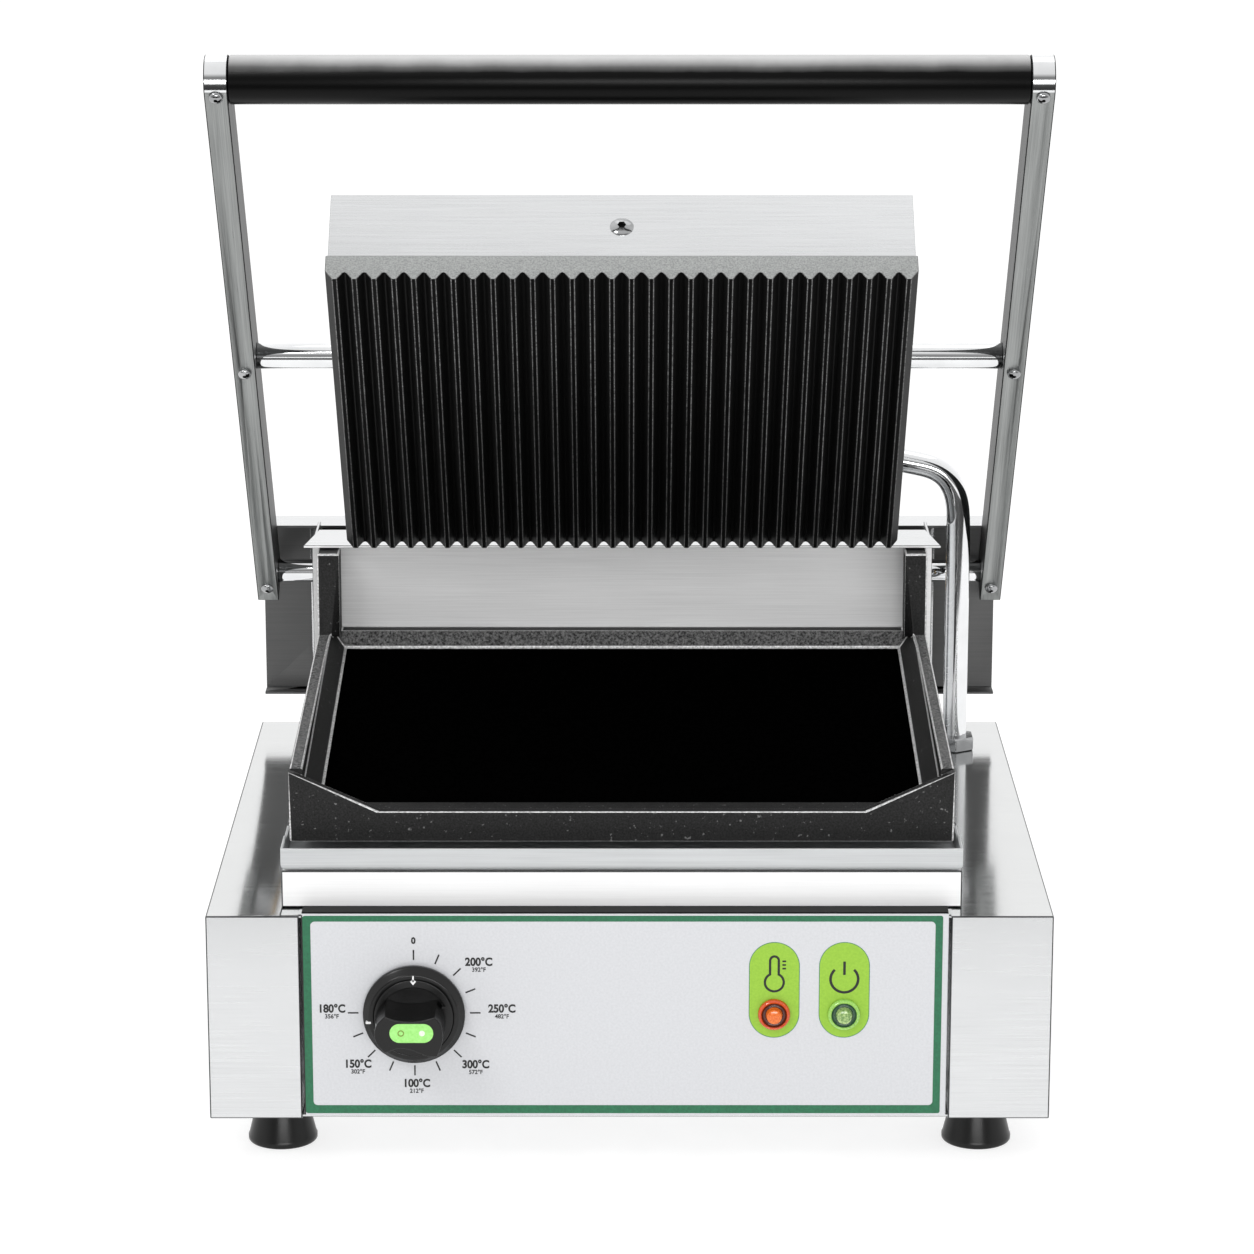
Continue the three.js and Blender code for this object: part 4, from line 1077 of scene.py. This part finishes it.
x, z = lens_right.x / MM, lens_right.z / MM
ring = arc(x, z + 18.7, 7.7, 134, 406, 48) + arc(x, z + 18.7, 6.35, 406, 134, 48)
printed("power_ring", [ring], black_ink, 2)
printed("power_bar", [rounded_rectangle(x - 0.65, x + 0.65, z + 21.0, z + 28.2, 0.2, 2)], black_ink, 2)
print("symbols printed")


# %% Dial
def lettering(name, words, cap_mm, x_mm, z_mm, stroke_mm, squeeze=0.94):
    curve = bpy.data.curves.new(name, "FONT")
    curve.body = words
    curve.align_x = "CENTER"
    curve.align_y = "CENTER"
    curve.size = cap_mm * MM / 0.69
    curve.extrude = 0.05 * MM
    curve.offset = stroke_mm / 2 * MM
    holder = bpy.data.objects.new(name + "_text", curve)
    mesh = bpy.data.meshes.new_from_object(holder)
    bpy.data.objects.remove(holder)
    bm = bmesh.new()
    bm.from_mesh(mesh)
    bmesh.ops.remove_doubles(bm, verts=bm.verts, dist=0.001 * MM)
    bmesh.ops.scale(bm, vec=(squeeze, 1, 1), verts=bm.verts)
    facing_front(bm, x_mm * MM, face_y - 0.05 * MM, z_mm * MM)
    return settle(bm, name, "control_panel", [black_ink], replace=False)


kx, kz = knob_x / MM, knob_z / MM
TICK_INNER, TICK_OUTER = 28.4, 33.8
tick_meshes = []
for i in range(13):
    angle = math.radians(90 - 22.5 * i)
    direction = Vector((math.cos(angle), math.sin(angle)))
    across = Vector((-direction.y, direction.x)) * 0.38
    inner, outer = direction * TICK_INNER, direction * TICK_OUTER
    corners = [inner - across, outer - across, outer + across, inner + across]
    tick_meshes.append(raised([[(kx + c.x, kz + c.y) for c in corners]], 0.1))
ticks = facing_front(joined(*tick_meshes), 0, face_y, 0)
settle(ticks, "dial_ticks", "control_panel", [black_ink], replace=False)
LABELS = [
    ("200", "392", 33.1, 27.2), ("250", "482", 44.7, 2.1), ("300", "572", 31.1, -28.0),
    ("100", "212", 0.8, -38.2), ("150", "302", -29.1, -27.7), ("180", "356", -42.0, 2.1),
]
for celsius, fahrenheit, dx, dz in LABELS:
    lettering(f"dial_{celsius}_c", celsius + "°C", 4.1, kx + dx, kz + dz, 0.42, 0.9)
    lettering(f"dial_{fahrenheit}_f", fahrenheit + "°F", 2.2, kx + dx, kz + dz - 4.1, 0.14, 0.95)
lettering("dial_zero", "0", 3.2, kx, kz + 38.6, 0.4)
print("dial printed with", len(LABELS), "settings")

# %% [markdown]
# ## Lamps
#
# Each lamp is a moulded lens with a raised rim, a groove and a domed middle. One spun profile
# gives all three, and the radius of each face picks its tone; the groove's dark is painted shade.


# %% Lamp lenses
def lamp(name, node, materials):
    low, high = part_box(node)
    centre = (low + high) / 2
    radius = (high.x - low.x) / 2 / MM
    deep = (high.y - low.y) / MM
    profile = [
        (0, 0), (radius, 0), (radius, 1.2), (radius - 0.3, 2.0), (radius - 1.0, 2.5), (radius - 1.7, 2.3),
        (radius - 2.1, 1.6), (radius - 2.6, 1.2), (4.7, 1.2), (4.25, 1.6), (4.1, 3.4), (3.7, deep - 0.6),
        (2.6, deep - 0.15), (0, deep),
    ]
    bm = spun(profile, 72)
    facing_front(bm, centre.x, high.y, centre.z)
    piece = settle(bm, name, node, materials, 50)

    def zone(place, normal):
        reach = math.hypot(place.x - centre.x, place.z - centre.z) / MM
        # Slot 1 is the groove's painted shade.
        return 1 if 4.2 < reach < radius - 1.9 else 2 if reach <= 4.2 else 0

    shade_by(piece, zone)
    return piece


lamp("heating_lamp", "heating_lamp_lens", [orange_lens, orange_groove, orange_core])
lamp("power_lamp", "power_lamp_lens", [green_lens, green_groove, green_core])
print("lamps made")

# %% [markdown]
# ## Camera, floor and light
#
# The camera looks slightly down from the front, through a long lens. The floor is a plain pale
# sheet. A pale sky lights everything evenly, brighter from above and behind. One soft box at the
# upper left draws the highlights, a low one fills the front, and a wide one lights the top.

# %% Camera
camera_data = bpy.data.cameras.new("front_camera")
camera_data.lens = 125.9
camera_data.sensor_width = 36
camera = bpy.data.objects.new("front_camera", camera_data)
camera.location = (-0.0013, -2.2821, 0.8384)
camera.rotation_euler = (math.radians(90 - 14.65), 0, 0)
scene.collection.objects.link(camera)
scene.camera = camera

# %% Floor
def laid_sheet(name, half_width, half_depth, place, material):
    bm = bmesh.new()
    bmesh.ops.create_grid(bm, x_segments=1, y_segments=1, size=1)
    bmesh.ops.scale(bm, vec=(half_width, half_depth, 1), verts=bm.verts)
    bmesh.ops.translate(bm, vec=place, verts=bm.verts)
    mesh = bpy.data.meshes.new(name)
    bm.to_mesh(mesh)
    bm.free()
    mesh.materials.append(material)
    sheet = bpy.data.objects.new(name, mesh)
    scene.collection.objects.link(sheet)
    return sheet


# A lit white table glows a little from below, which keeps the shadows pale.
floor_paint, tree, shader = new_finish(
    "lit_white_studio_table", Roughness=0.9, Specular_IOR_Level=0.0, Emission_Strength=0.74,
)
shader.inputs["Emission Color"].default_value = (1, 1, 1, 1)
place = add(tree, "ShaderNodeTexCoord")
paper = add(tree, "ShaderNodeTexNoise", Vector=place.outputs["Object"], Scale=40.0, Detail=2.0)
add(
    tree, "ShaderNodeValToRGB", stops=[(0.3, "#9C9C9C"), (0.7, "#A2A2A2")],
    to=shader.inputs["Base Color"], Fac=paper.outputs[0],
)
laid_sheet("studio_floor", 30, 30, (0, 0, 0), floor_paint)
print("floor laid")

# %% [markdown]
# A dark cloth lies on the table in front, out of the picture. Only mirror-like surfaces see it,
# and it gives the polished rods their dark band.

# %% Dark cloth
cloth_flock = moulded("black_flock_cloth", "#0A0A0A", "#060606", 0.9, 3, 0.05)
cloth = laid_sheet("dark_studio_cloth", 2.2, 0.75, (0, -1.45, 0.001), cloth_flock)
cloth.visible_camera = False
cloth.visible_diffuse = False
cloth.visible_shadow = False
print("cloth laid")


# %% Light
def soft_box(name, place, target, width, height, watts):
    data = bpy.data.lights.new(name, "AREA")
    data.shape = "RECTANGLE"
    data.size, data.size_y = width, height
    data.energy = watts
    lamp_object = bpy.data.objects.new(name, data)
    lamp_object.location = place
    aim = Vector(target) - Vector(place)
    lamp_object.rotation_euler = aim.to_track_quat("-Z", "Y").to_euler()
    scene.collection.objects.link(lamp_object)
    return lamp_object


soft_box("key_soft_box", (-1.7, -1.9, 2.4), (0, 0, 0.2), 0.9, 0.7, 20)
soft_box("front_fill_box", (0.2, -2.9, 0.5), (0, 0, 0.25), 1.8, 0.5, 24)
soft_box("top_soft_box", (0.2, 0.9, 2.6), (0, 0, 0.2), 2.2, 1.4, 6)

world = bpy.data.worlds.new("pale_studio")
world.use_nodes = True
scene.world = world
tree = world.node_tree
sky = tree.nodes["Background"]
place = add(tree, "ShaderNodeTexCoord")
axes = add(tree, "ShaderNodeSeparateXYZ", Vector=place.outputs["Generated"])
back = add(tree, "ShaderNodeMapRange", Value=axes.outputs[1], i1=-1.0, i2=0.8, i3=0.86, i4=1.15)
over = add(tree, "ShaderNodeMapRange", Value=axes.outputs[2], i1=0.3, i2=0.55, i3=0.3, i4=1.0)
ahead = add(tree, "ShaderNodeMapRange", Value=axes.outputs[1], i1=-0.9, i2=-0.55, i3=0.3, i4=1.0)
lifted = add(tree, "ShaderNodeMath", {"operation": "MAXIMUM"}, i0=ahead.outputs[0], i1=over.outputs[0])
add(
    tree, "ShaderNodeMath", {"operation": "MULTIPLY"}, to=sky.inputs["Color"], i0=back.outputs[0],
    i1=lifted.outputs[0],
)
sky.inputs["Strength"].default_value = 1.0
scene.view_settings.view_transform = "Standard"
print("lights set")
